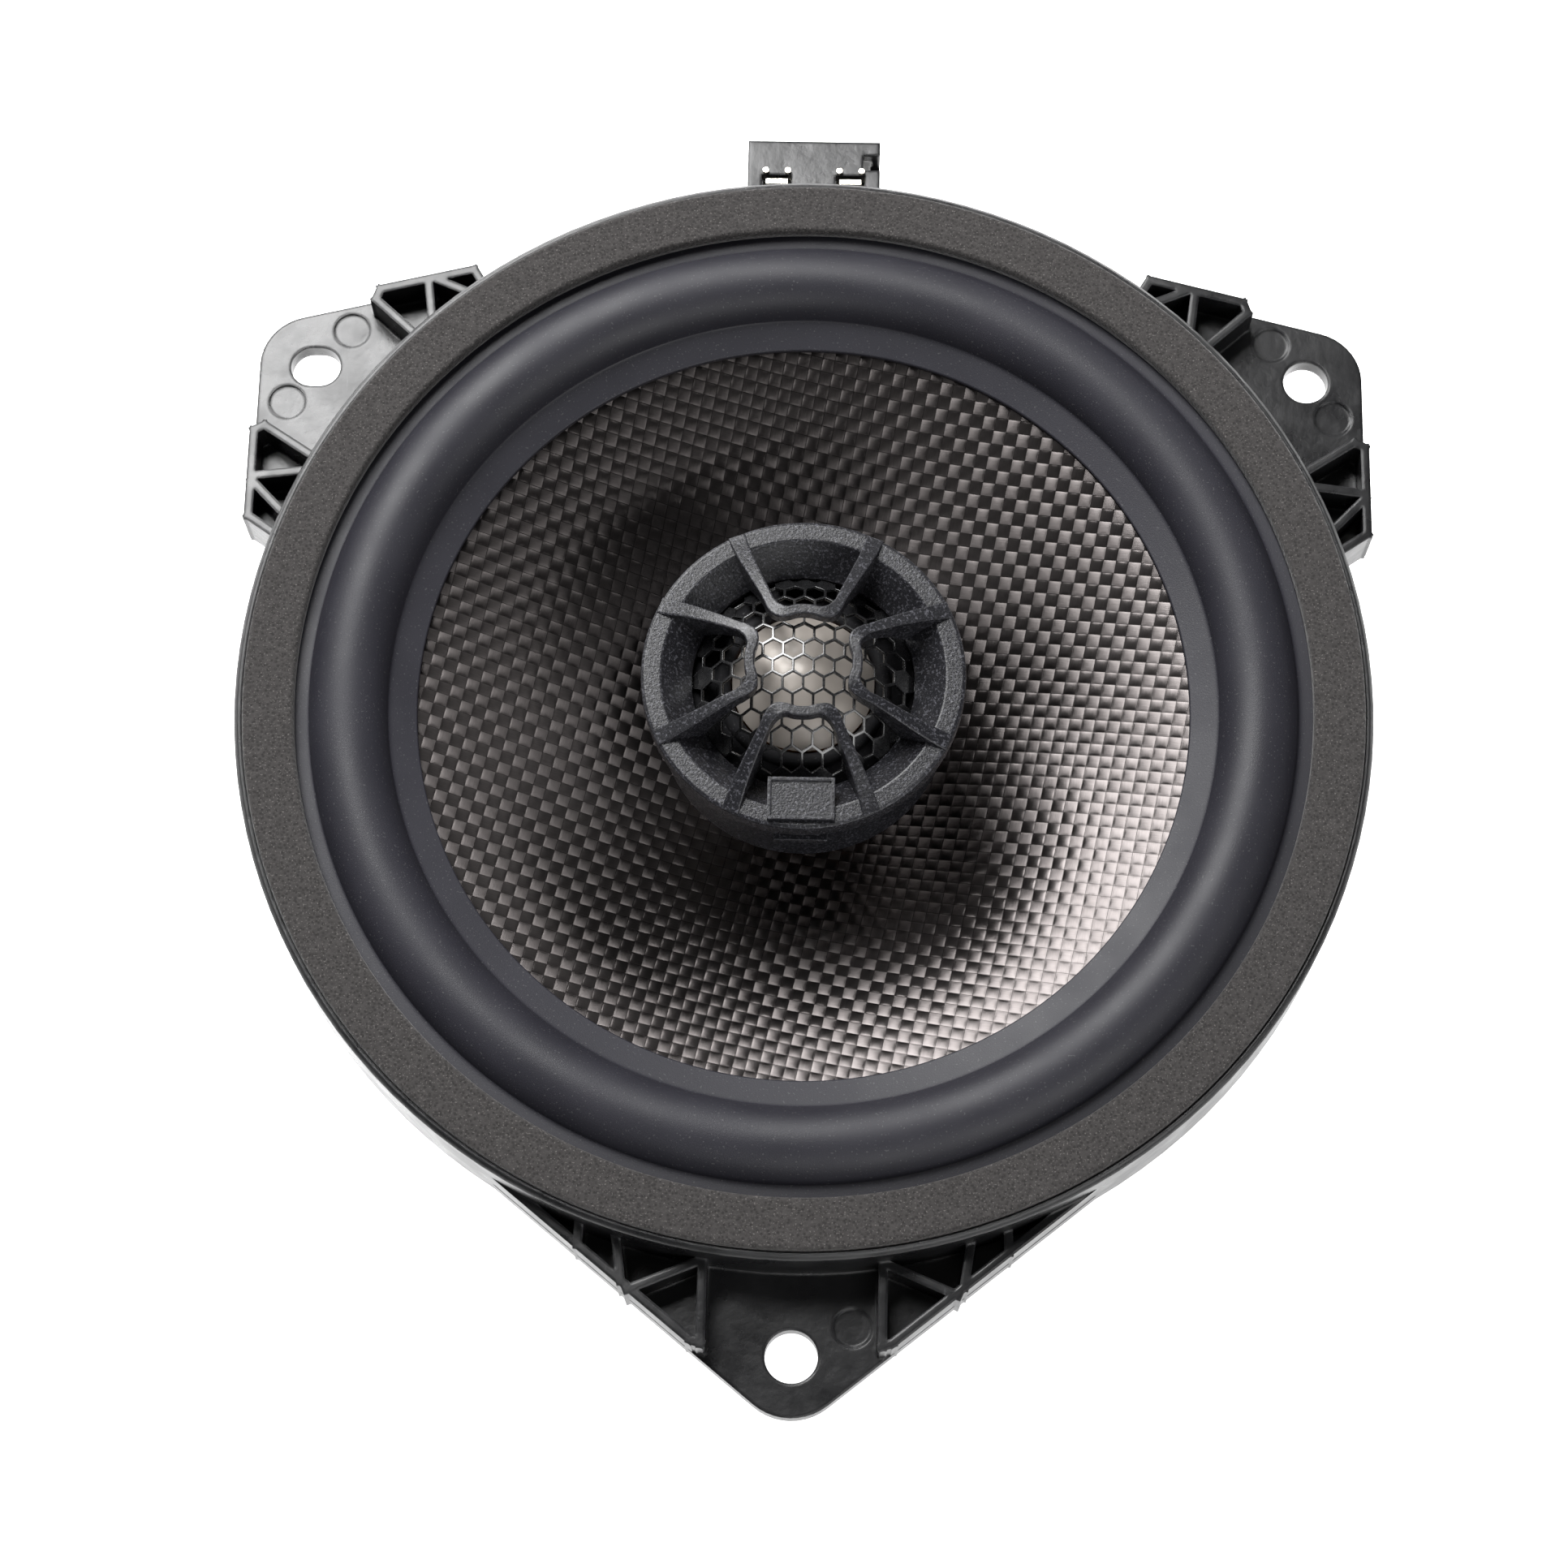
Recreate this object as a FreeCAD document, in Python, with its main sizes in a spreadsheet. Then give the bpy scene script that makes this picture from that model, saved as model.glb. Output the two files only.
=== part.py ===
import FreeCAD, Part
import math
import os
import Sketcher
from FreeCAD import Placement, Rotation, Vector

# Coaxial car speaker, 165 mm across its rim, with a tweeter on a post at its centre.
# Millimetres. +Z points out of the front, +Y towards the connector, and the single ear is at -Y.
# The origin is on the speaker's axis, in the mounting plane: the rear face of the three ears.

SIZES = {
    # basket: rim, seat, cone-shaped frame and motor cup
    "rim_radius": 82.5,
    "rim_wall": 2.2,
    "lip_top": 13.5,
    "lip_width": 1.1,
    "lip_edge": 0.6,
    "seat_height": 11.0,
    "flange_depth": 2.8,
    "flange_inner_radius": 71.6,
    "throat_drop": 2.0,
    "frame_outer_radius": 71.5,
    "frame_top": 1.0,
    "frame_inner_radius": 68.7,
    "frame_inner_top": 2.2,
    "shelf_radius": 47.0,
    "shelf_inner_radius": 38.0,
    "shelf_height": -18.5,
    "frame_foot_radius": 49.5,
    "frame_foot": -20.5,
    "floor_top": -23.0,
    "floor_hole_radius": 20.0,
    "cup_radius": 44.2,
    "cup_top": -22.5,
    "cup_wall": 2.0,
    "cup_foot": -31.0,
    # basket: windows
    "window_count": 6,
    "window_inner_radius": 50.5,
    "window_outer_radius": 68.0,
    "arm_width": 11.0,
    # basket: ears, their holes and the webs on them
    "ear_thickness": 3.0,
    "web_top": 8.5,
    "ear_root": 0.9,
    "web_wall": 1.3,
    "side_ear_x": 83.8,
    "side_ear_corner_y": 61.9,
    "side_ear_corner_radius": 8.0,
    "side_ear_top_x": 50.6,
    "side_ear_top_y": 70.2,
    "side_ear_foot_x": 80.3,
    "side_ear_foot_y": 25.9,
    "side_ear_side_y": 28.3,
    "lower_ear_tip_x": 51.0,
    "lower_ear_tip_y": 63.9,
    "lower_ear_apex_y": 105.1,
    "lower_ear_apex_radius": 8.3,
    "side_hole_x": 75.3,
    "side_hole_y": 55.3,
    "side_hole_radius": 3.4,
    "slot_radius": 3.2,
    "slot_length": 7.6,
    "lower_hole_y": 94.2,
    "lower_hole_radius": 3.75,
    "ejector_radius": 2.75,
    "ejector_depth": 0.25,
    # front gasket, surround and cone
    "gasket_front": 14.5,
    "gasket_radius": 81.3,
    "gasket_inner_radius": 73.8,
    "surround_flange": 1.0,
    "surround_radius": 81.2,
    "surround_wall": 0.8,
    "roll_outer_radius": 71.8,
    "roll_inner_radius": 60.4,
    "roll_peak": 16.3,
    "roll_foot": 11.2,
    "lip_inner_radius": 56.3,
    "lip_inner_height": 9.6,
    "glue_gap": 0.1,
    "clearance": 0.02,
    "cone_wall": 0.6,
    "cone_radius": 60.0,
    "cone_neck_radius": 13.3,
    "cone_neck_height": -13.0,
    "cone_bulge": 1.2,
    # voice coil and spider
    "former_inner_radius": 12.9,
    "former_wall": 0.15,
    "former_top": -11.5,
    "former_foot": -34.9,
    "winding_wall": 0.65,
    "winding_top": -22.5,
    "winding_foot": -34.5,
    "spider_outer_radius": 46.5,
    "spider_wall": 0.45,
    "spider_height": -17.2,
    "spider_wave": 1.1,
    "spider_rolls": 5,
    # motor
    "top_plate_radius": 42.0,
    "top_plate_front": -26.0,
    "top_plate_rear": -31.0,
    "gap_radius": 14.5,
    "magnet_radius": 40.0,
    "magnet_hole_radius": 18.0,
    "magnet_rear": -46.0,
    "yoke_radius": 38.5,
    "yoke_rear": -51.0,
    "pole_radius": 12.3,
    "stem_radius": 4.0,
    "yoke_recess_radius": 9.0,
    "groove_width": 3.6,
    "groove_depth": 2.6,
    "boot_radius": 41.9,
    "boot_wall": 1.8,
    "boot_front": -31.4,
    "boot_rear": -52.5,
    "boot_window_radius": 27.0,
    "screw_ring_radius": 29.0,
    "screw_radius": 1.5,
    "screw_head_radius": 3.0,
    "screw_head_height": 1.8,
    # tweeter post, housing and bezel
    "post_radius": 6.0,
    "post_bore_radius": 2.4,
    "housing_radius": 21.2,
    "housing_wall": 1.6,
    "housing_foot": 3.0,
    "housing_floor": 2.0,
    "housing_chamfer": 1.2,
    "latch_width": 7.6,
    "latch_reach": 2.4,
    "latch_length": 3.2,
    "latch_drop": 2.0,
    "latch_thickness": 1.1,
    "bezel_radius": 23.2,
    "bezel_face": 22.9,
    "bezel_rear": 19.8,
    "bezel_flat_radius": 20.3,
    "bezel_throat_radius": 16.0,
    "bezel_throat": 19.0,
    "bezel_seat": 18.0,
    "bezel_edge": 0.6,
    "badge_width": 9.5,
    "badge_height": 6.2,
    "badge_y": 18.9,
    "badge_face": 23.4,
    "badge_border": 0.5,
    "badge_border_height": 0.35,
    # tweeter guard
    "loop_bar_radius": 7.5,
    "loop_bar_half": 4.4,
    "loop_foot_radius": 23.0,
    "loop_foot_half": 10.0,
    "loop_foot_width": 2.7,
    "loop_bar_width": 1.7,
    "loop_outer_bend": 2.2,
    "loop_inner_bend": 0.9,
    "guard_top": 29.1,
    "guard_bar_depth": 1.9,
    "guard_foot_inset": 0.3,
    "guard_shoulder": 2.4,
    "guard_shoulder_inset": 1.0,
    "guard_brow": 0.45,
    "guard_brow_reach": 2.5,
    "guard_belly_sag": 0.6,
    "guard_belly_rise": 3.9,
    "guard_belly_inset": 1.2,
    "guard_root": 0.2,
    # mesh
    "mesh_radius": 16.9,
    "mesh_peak": 26.8,
    "mesh_wall": 0.35,
    "mesh_gap": 0.3,
    "mesh_shoulder": 0.62,
    "mesh_shoulder_rise": 0.7,
    "hex_pitch": 2.9,
    "hex_wire": 0.34,
    # tweeter motor and dome
    "dome_radius": 10.2,
    "dome_base": 18.4,
    "dome_peak": 23.0,
    "dome_wall": 0.2,
    "dome_roll_radius": 12.6,
    "dome_roll_foot": 17.6,
    "dome_roll_peak": 18.7,
    "dome_ring_height": 17.5,
    "dome_ring_radius": 17.6,
    "tweeter_coil_wall": 0.5,
    "tweeter_coil_foot": 13.4,
    "tweeter_plate_radius": 9.2,
    "tweeter_plate_front": 16.6,
    "tweeter_plate_rear": 14.4,
    "tweeter_magnet_radius": 8.8,
    "tweeter_magnet_rear": 9.4,
    "tweeter_yoke_radius": 16.0,
    "tweeter_yoke_wall": 5.3,
    "tweeter_yoke_front": 17.2,
    "tweeter_yoke_rear": 6.9,
    # connector and wiring
    "connector_width": 20.4,
    "connector_outer_y": 94.2,
    "connector_front": 4.0,
    "connector_rear": -12.0,
    "connector_wall": 1.4,
    "connector_floor": 2.2,
    "notch_x": 7.6,
    "notch_y": 89.4,
    "notch_length": 2.6,
    "notch_depth": 4.0,
    "recess_width": 4.6,
    "recess_outer_y": 88.45,
    "blade_spacing": 11.4,
    "blade_width": 3.4,
    "blade_thickness": 0.9,
    "blade_y": 87.6,
    "blade_front": 3.6,
    "blade_rear": -10.0,
    "bridge_thickness": 0.8,
    "lug_radius": 0.5,
    "lug_y": 89.0,
    "lug_front": 4.6,
    "strip_width": 27.0,
    "strip_length": 13.0,
    "strip_thickness": 1.6,
    "strip_radius": 61.0,
    "tag_x": 10.6,
    "tag_width": 3.4,
    "tag_length": 7.0,
    "tag_thickness": 0.5,
    "tag_lift": 0.5,
    "capacitor_radius": 5.0,
    "capacitor_length": 16.0,
    "capacitor_edge": 0.8,
    "capacitor_wire_radius": 0.35,
    "capacitor_wire_bend": 1.0,
    "wire_radius": 0.65,
    "tinsel_radius": 0.6,
    "lead_bend": 2.6,
    "tweeter_lead_bend": 1.8,
    "tweeter_lead_half_gap": 0.8,
}

# Walls on the ears, as runs of corners in plan, for the side ear at +X and for half of the lower ear.
SIDE_EAR_WEBS = [
    [(58.7, 57.6), (66.0, 64.2), (65.4, 65.9), (51.3, 69.4), (49.0, 65.6)],
    [(57.2, 60.0), (58.2, 67.6)],
    [(57.0, 67.7), (50.9, 65.2)],
    [(73.0, 37.6), (81.6, 43.2), (83.15, 42.4), (83.15, 28.6), (79.0, 25.8)],
    [(74.2, 36.1), (83.0, 35.0)],
    [(83.0, 34.3), (77.5, 28.6)],
]
LOWER_EAR_WEBS = [
    [(12.6, -81.6), (12.6, -93.4), (14.0, -92.9), (50.0, -63.8)],
    [(13.0, -81.9), (23.0, -86.1)],
    [(24.8, -78.8), (23.9, -84.9)],
    [(30.0, -76.9), (30.1, -79.9)],
]
SIDE_EJECTORS = [(70.1, 61.4), (79.3, 49.4)]
LOWER_EJECTORS = [(8.5, -90.0)]

# Where the leads run, in the plane of +X; the other lead of each pair is the mirror image.
TINSEL_ROUTE = [(14.5, 52.0, -11.0), (12.0, 41.0, -9.0), (8.5, 29.0, -11.0), (6.5, 21.6, -10.4)]
FEED_TURN = (76.0, -3.0)
TWEETER_CLIMB = [(46.8, -32.0), (53.0, -21.5)]

DOC = FreeCAD.newDocument("coaxial_speaker")
AXIS = Vector(0, 0, 1)
SAME_PLACE = 1e-3
SLIGHT_NUDGE = 1e-6


class Length:
    """A size that knows its value and the sheet expression that gives it."""

    def __init__(self, value, text):
        self.value = value
        self.text = text

    def __add__(self, other):
        other = as_length(other)
        return Length(self.value + other.value, f"({self.text} + {other.text})")

    def __sub__(self, other):
        other = as_length(other)
        return Length(self.value - other.value, f"({self.text} - {other.text})")

    def __mul__(self, factor):
        return Length(self.value * factor, f"({self.text} * {factor})")

    def __truediv__(self, divisor):
        return Length(self.value / divisor, f"({self.text} / {divisor})")

    def __neg__(self):
        return Length(-self.value, f"(0 - {self.text})")


def as_length(number):
    """Plain numbers become sizes too, so that the two mix in sums."""
    if isinstance(number, Length):
        return number
    return Length(float(number), repr(float(number)))


def leg(hypotenuse, other_leg):
    """The second leg of a right triangle."""
    value = math.sqrt(hypotenuse.value ** 2 - other_leg.value ** 2)
    return Length(value, f"sqrt({hypotenuse.text}^2 - {other_leg.text}^2)")


class Sizes:
    """Reads the sheet: size.rim_radius is the cell with that alias."""

    def __init__(self, sheet):
        self.sheet = sheet

    def __getattr__(self, alias):
        return Length(float(self.sheet.get(alias)), f"sizes.{alias}")


def make_sheet():
    """The spreadsheet of driving dimensions, one row each."""
    sheet = DOC.addObject("Spreadsheet::Sheet", "sizes")
    for row, (alias, value) in enumerate(SIZES.items(), start=1):
        sheet.set(f"A{row}", alias)
        sheet.set(f"B{row}", str(value))
        sheet.setAlias(f"B{row}", alias)
    DOC.recompute()
    return sheet


size = Sizes(make_sheet())


# ---------------------------------------------------------------- building blocks


def new_body(name):
    body = DOC.addObject("PartDesign::Body", name)
    body.Label = name
    return body


def origin_plane(body, role):
    for feature in body.Origin.OriginFeatures:
        if feature.Role == role:
            return feature
    raise ValueError(f"{body.Label} has no plane {role}")


def new_sketch(body, name, role, offset):
    sketch = body.newObject("Sketcher::SketchObject", name)
    sketch.AttachmentSupport = [(origin_plane(body, role), "")]
    sketch.MapMode = "FlatFace"
    if offset is not None:
        sketch.setExpression("AttachmentOffset.Base.z", offset.text)
    return sketch


def bind(sketch, constraint, expression):
    """Add a dimension to a sketch and tie it to the sheet."""
    index = sketch.addConstraint(constraint)
    sketch.setExpression(f"Constraints[{index}]", expression)


def place_point(sketch, edge, end, point):
    """Fix one end of an edge from the sketch's origin."""
    x, y = point
    bind(sketch, Sketcher.Constraint("DistanceX", -1, 1, edge, end, x.value), x.text)
    bind(sketch, Sketcher.Constraint("DistanceY", -1, 1, edge, end, y.value), y.text)


def outline(body, name, role, corners, arcs=None, offset=None):
    """A closed outline. arcs gives, for an edge's number, the (centre, radius) of an arc in its place."""
    arcs = arcs or {}
    corners = [(as_length(x), as_length(y)) for x, y in corners]
    sketch = new_sketch(body, name, role, offset)
    count = len(corners)
    ends = []
    for number in range(count):
        first = Vector(corners[number][0].value, corners[number][1].value, 0)
        last_corner = corners[(number + 1) % count]
        last = Vector(last_corner[0].value, last_corner[1].value, 0)
        if number in arcs:
            ends.append(add_arc(sketch, first, last, *arcs[number]))
        else:
            sketch.addGeometry(Part.LineSegment(first, last), False)
            ends.append((1, 2))
    for number in range(count):
        after = (number + 1) % count
        sketch.addConstraint(
            Sketcher.Constraint("Coincident", number, ends[number][1], after, ends[after][0])
        )
    for number, corner in enumerate(corners):
        place_point(sketch, number, ends[number][0], corner)
    for number, (_, radius) in arcs.items():
        bind(sketch, Sketcher.Constraint("Radius", number, radius.value), radius.text)
    return sketch


def add_arc(sketch, first, last, centre, radius):
    """Add the shorter arc between two corners and say which of its ends is which corner."""
    middle = Vector(as_length(centre[0]).value, as_length(centre[1]).value, 0)
    from_first = first - middle
    from_last = last - middle
    anticlockwise = from_first.cross(from_last).z > 0
    start, stop = (from_first, from_last) if anticlockwise else (from_last, from_first)
    circle = Part.Circle(middle, AXIS, radius.value)
    begin = math.atan2(start.y, start.x)
    sketch.addGeometry(Part.ArcOfCircle(circle, begin, math.atan2(stop.y, stop.x)), False)
    return (1, 2) if anticlockwise else (2, 1)


def circle_sketch(body, name, centres, radius, offset):
    """A sketch of equal circles on the XY plane."""
    sketch = new_sketch(body, name, "XY_Plane", offset)
    for number, (x, y) in enumerate(centres):
        x, y = as_length(x), as_length(y)
        sketch.addGeometry(Part.Circle(Vector(x.value, y.value, 0), AXIS, radius.value), False)
        place_point(sketch, number, 3, (x, y))
        bind(sketch, Sketcher.Constraint("Radius", number, radius.value), radius.text)
    return sketch


def turn(body, name, profile, arcs=None):
    """Revolve a profile of (radius, height) corners about Z."""
    sketch = outline(body, name + "_profile", "XZ_Plane", profile, arcs)
    revolution = body.newObject("PartDesign::Revolution", name)
    revolution.Profile = sketch
    revolution.ReferenceAxis = (sketch, ["V_Axis"])
    DOC.recompute()
    return revolution


def turned(name, profile, arcs=None):
    """A node that is one revolved profile."""
    body = new_body(name)
    turn(body, name + "_turn", profile, arcs)
    return body


def pad(body, name, sketch, height):
    """Raise a sketch towards +Z."""
    feature = body.newObject("PartDesign::Pad", name)
    feature.Profile = sketch
    feature.setExpression("Length", height.text)
    DOC.recompute()
    return feature


def pocket(body, name, sketch, depth):
    """Cut a sketch's outline towards -Z, and make sure that it cut something."""
    before = body.Shape.Volume
    feature = body.newObject("PartDesign::Pocket", name)
    feature.Profile = sketch
    feature.setExpression("Length", depth.text)
    DOC.recompute()
    if body.Shape.Volume > before - SAME_PLACE:
        raise RuntimeError(f"{name} cut nothing")
    return feature


def repeat_about_axis(body, name, feature, sketch, count):
    """Repeat a feature evenly round Z."""
    pattern = body.newObject("PartDesign::PolarPattern", name)
    pattern.Originals = [feature]
    pattern.Axis = (sketch, ["N_Axis"])
    pattern.Angle = 360
    pattern.setExpression("Occurrences", count.text)
    body.Tip = pattern
    DOC.recompute()
    return pattern


def edges_where(shape, wanted):
    """Names of the edges that a test picks."""
    return [f"Edge{number}" for number, edge in enumerate(shape.Edges, start=1) if wanted(edge)]


def upright_at(x, y):
    """A test for straight edges along Z at a place in plan."""

    def wanted(edge):
        start = edge.Vertexes[0].Point
        end = edge.Vertexes[-1].Point
        upright = math.hypot(start.x - end.x, start.y - end.y) < SAME_PLACE
        return upright and math.hypot(start.x - x.value, start.y - y.value) < SAME_PLACE

    return wanted


def round_edges(body, name, feature, wanted, radius):
    """Fillet the edges of a feature that a test picks."""
    fillet = body.newObject("PartDesign::Fillet", name)
    fillet.Base = (feature, edges_where(feature.Shape, wanted))
    fillet.setExpression("Radius", radius.text)
    DOC.recompute()
    return fillet


def fused(name, members):
    """One node made of several overlapping objects."""
    fusion = DOC.addObject("Part::MultiFuse", name)
    fusion.Shapes = members
    fusion.Label = name
    DOC.recompute()
    return fusion


def cut(name, base, tool):
    result = DOC.addObject("Part::Cut", name)
    result.Base = base
    result.Tool = tool
    result.Label = name
    DOC.recompute()
    return result


def cylinder(name, radius, low, high, centre=(0, 0)):
    """A Part cylinder along Z between two heights."""
    part = DOC.addObject("Part::Cylinder", name)
    part.Label = name
    part.setExpression("Radius", radius.text)
    part.setExpression("Height", (high - low).text)
    part.setExpression("Placement.Base.x", as_length(centre[0]).text)
    part.setExpression("Placement.Base.y", as_length(centre[1]).text)
    part.setExpression("Placement.Base.z", as_length(low).text)
    return part


def box(name, low_corner, spans):
    """A Part box from its lowest corner and its three spans."""
    part = DOC.addObject("Part::Box", name)
    part.Label = name
    for side, span in zip(("Length", "Width", "Height"), spans):
        part.setExpression(side, as_length(span).text)
    for letter, place in zip("xyz", low_corner):
        part.setExpression(f"Placement.Base.{letter}", as_length(place).text)
    return part


def shaped(name, shape):
    """A node whose shape is made with Part's own functions."""
    feature = DOC.addObject("Part::Feature", name)
    feature.Label = name
    feature.Shape = shape
    feature.Placement = Placement()
    return feature


def at(radius, height):
    """A point of a turned profile, in the XZ plane."""
    return Vector(as_length(radius).value, 0, as_length(height).value)


def side(start, end):
    return Part.LineSegment(start, end).toShape()


def bow(start, middle, end):
    return Part.Arc(start, middle, end).toShape()


def spun(edges):
    """The solid of revolution of a closed profile."""
    face = Part.Face(Part.Wire(edges))
    solid = face.revolve(Vector(0, 0, 0), AXIS, 360)
    return Part.Solid(Part.Shell(solid.Faces)) if solid.ShapeType != "Solid" else solid


def bulged(start, end, bulge):
    """The middle of an arc from start to end in the XZ plane that stands bulge above its chord."""
    along = (end - start).normalize()
    across = Vector(-along.z, 0, along.x)
    return (start + end) * 0.5 + across * bulge


def rounded_path(points, bend):
    """Straight runs joined by tangent arcs of one radius."""
    edges = []
    here = points[0]
    for before, corner, after in zip(points, points[1:], points[2:]):
        into = (corner - before).normalize()
        out = (after - corner).normalize()
        turn_angle = into.getAngle(out)
        reach = bend * math.tan(turn_angle / 2)
        start = corner - into * reach
        stop = corner + out * reach
        inward = (out - into).normalize()
        to_middle = bend / math.cos(turn_angle / 2) - bend
        edges.append(side(here, start))
        edges.append(bow(start, corner + inward * to_middle, stop))
        here = stop
    edges.append(side(here, points[-1]))
    return Part.Wire(edges)


def wire_solid(points, bend, radius):
    """A round wire along a path."""
    path = rounded_path(points, bend)
    direction = points[1] - points[0]
    ring = Part.Wire(Part.Circle(points[0], direction, radius).toShape())
    return path.makePipeShell([ring], True, True)


def prism(points, low, high):
    """A straight prism over a closed outline in plan."""
    corners = [Vector(x, y, low) for x, y in points]
    face = Part.Face(Part.makePolygon(corners + corners[:1]))
    return face.extrude(Vector(0, 0, high - low))


# ---------------------------------------------------------------- basket


def basket_frame():
    """The turned frame: lip, seat, flange, pierced cone, spider shelf and motor cup."""
    inside_rim = size.rim_radius - size.rim_wall
    under_flange = size.seat_height - size.flange_depth
    profile = [
        (size.rim_radius, size.lip_top - size.lip_edge),
        (size.rim_radius, 0),
        (inside_rim, 0),
        (inside_rim, under_flange),
        (size.flange_inner_radius + size.flange_depth, under_flange),
        (size.frame_outer_radius, size.frame_top),
        (size.frame_foot_radius, size.frame_foot),
        (size.cup_radius, size.cup_top),
        (size.cup_radius, size.cup_foot),
        (size.cup_radius - size.cup_wall, size.cup_foot),
        (size.cup_radius - size.cup_wall, size.top_plate_front),
        (size.floor_hole_radius, size.top_plate_front),
        (size.floor_hole_radius, size.floor_top),
        (size.shelf_inner_radius, size.floor_top),
        (size.shelf_inner_radius, size.shelf_height),
        (size.shelf_radius, size.shelf_height),
        (size.frame_inner_radius, size.frame_inner_top),
        (size.flange_inner_radius, size.seat_height - size.throat_drop),
        (size.flange_inner_radius, size.seat_height),
        (size.rim_radius - size.lip_width, size.seat_height),
        (size.rim_radius - size.lip_width, size.lip_top),
        (size.rim_radius - size.lip_edge, size.lip_top),
    ]
    body = new_body("basket_frame")
    turn(body, "basket_turn", profile)
    cut_windows(body)
    cut_screw_holes(body)
    return body


def cut_windows(body):
    """Even windows through the cone of the frame, with straight-sided arms between them."""
    half = size.arm_width / 2
    sine = math.sin(math.pi / SIZES["window_count"])
    cosine = math.cos(math.pi / SIZES["window_count"])
    inner = leg(size.window_inner_radius, half)
    outer = leg(size.window_outer_radius, half)
    inner_x = inner * cosine + half * sine
    inner_y = inner * sine - half * cosine
    outer_x = outer * cosine + half * sine
    outer_y = outer * sine - half * cosine
    corners = [(inner_x, -inner_y), (outer_x, -outer_y), (outer_x, outer_y), (inner_x, inner_y)]
    arcs = {1: ((0, 0), size.window_outer_radius), 3: ((0, 0), size.window_inner_radius)}
    sketch = outline(body, "window_outline", "XY_Plane", corners, arcs, size.frame_inner_top)
    window = pocket(body, "window", sketch, size.frame_inner_top - size.cup_foot)
    repeat_about_axis(body, "windows", window, sketch, size.window_count)


def screw_places():
    """Where the motor screws stand, midway between the arms' directions."""
    reach = size.screw_ring_radius * math.sqrt(0.5)
    return [(reach, reach), (-reach, reach), (-reach, -reach), (reach, -reach)]


def cut_screw_holes(body):
    sketch = circle_sketch(
        body, "screw_hole_outline", screw_places(), size.screw_radius, size.floor_top
    )
    pocket(body, "screw_holes", sketch, size.floor_top - size.top_plate_front)


def side_ear(name, sign):
    """An ear plate with a rounded outer corner: sign is +1 for the ear at +X and -1 for its mirror."""
    corner_x = size.side_ear_x * sign
    root = SIZES["ear_root"]
    corners = [
        (size.side_ear_top_x * (sign * root), size.side_ear_top_y * root),
        (size.side_ear_top_x * sign, size.side_ear_top_y),
        (corner_x, size.side_ear_corner_y),
        (corner_x, size.side_ear_side_y),
        (size.side_ear_foot_x * sign, size.side_ear_foot_y),
        (size.side_ear_foot_x * (sign * root), size.side_ear_foot_y * root),
    ]
    body = new_body(name)
    plate = pad(
        body, name + "_plate", outline(body, name + "_outline", "XY_Plane", corners), size.ear_thickness
    )
    corner = upright_at(corner_x, size.side_ear_corner_y)
    round_edges(body, name + "_corner", plate, corner, size.side_ear_corner_radius)
    return body


def lower_ear():
    """The triangular ear at -Y, with a rounded apex."""
    root = SIZES["ear_root"]
    corners = [
        (-size.lower_ear_tip_x, -size.lower_ear_tip_y),
        (0, -size.lower_ear_apex_y),
        (size.lower_ear_tip_x, -size.lower_ear_tip_y),
        (size.lower_ear_tip_x * root, size.lower_ear_tip_y * -root),
        (size.lower_ear_tip_x * -root, size.lower_ear_tip_y * -root),
    ]
    body = new_body("lower_ear")
    sketch = outline(body, "lower_ear_outline", "XY_Plane", corners)
    plate = pad(body, "lower_ear_plate", sketch, size.ear_thickness)
    apex = upright_at(as_length(0), -size.lower_ear_apex_y)
    round_edges(body, "lower_ear_apex", plate, apex, size.lower_ear_apex_radius)
    return body


def ejector_marks(body, name, places):
    """Shallow round moulding marks beside a hole."""
    sketch = circle_sketch(body, name + "_outline", places, size.ejector_radius, size.ear_thickness)
    pocket(body, name, sketch, size.ejector_depth)


def drill(body, name, centre, radius):
    sketch = circle_sketch(body, name + "_outline", [centre], radius, size.ear_thickness)
    pocket(body, name, sketch, size.ear_thickness)


def cut_slot(body):
    """The slotted hole of the ear at -X. Its arcs' centres lean inwards a little, so that each arc
    is the outer half of its circle."""
    half = size.slot_length / 2 - size.slot_radius
    left = -size.side_hole_x - half
    right = -size.side_hole_x + half
    low = size.side_hole_y - size.slot_radius
    high = size.side_hole_y + size.slot_radius
    corners = [(left, low), (right, low), (right, high), (left, high)]
    arcs = {
        1: ((right - SLIGHT_NUDGE, size.side_hole_y), size.slot_radius),
        3: ((left + SLIGHT_NUDGE, size.side_hole_y), size.slot_radius),
    }
    sketch = outline(body, "slot_outline", "XY_Plane", corners, arcs, size.ear_thickness)
    pocket(body, "slot", sketch, size.ear_thickness)


def web(name, start, end):
    """One straight upright wall on an ear, with its ends carried on by half its thickness."""
    run = Vector(end[0] - start[0], end[1] - start[1], 0)
    along = Vector(run).normalize()
    across = Vector(-along.y, along.x, 0)
    half = SIZES["web_wall"] / 2
    wall = DOC.addObject("Part::Box", name)
    wall.Length = run.Length + 2 * half
    wall.setExpression("Width", "sizes.web_wall")
    wall.setExpression("Height", "sizes.web_top")
    corner = Vector(start[0], start[1], 0) - along * half - across * half
    wall.Placement = Placement(corner, Rotation(AXIS, math.degrees(math.atan2(run.y, run.x))))
    return wall


def webs(name, runs, sign):
    """The walls along several runs of corners."""
    walls = []
    for run_number, run in enumerate(runs):
        places = [(sign * x, y) for x, y in run]
        for step, (start, end) in enumerate(zip(places, places[1:])):
            walls.append(web(f"{name}_{run_number}_{step}", start, end))
    return walls


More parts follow.
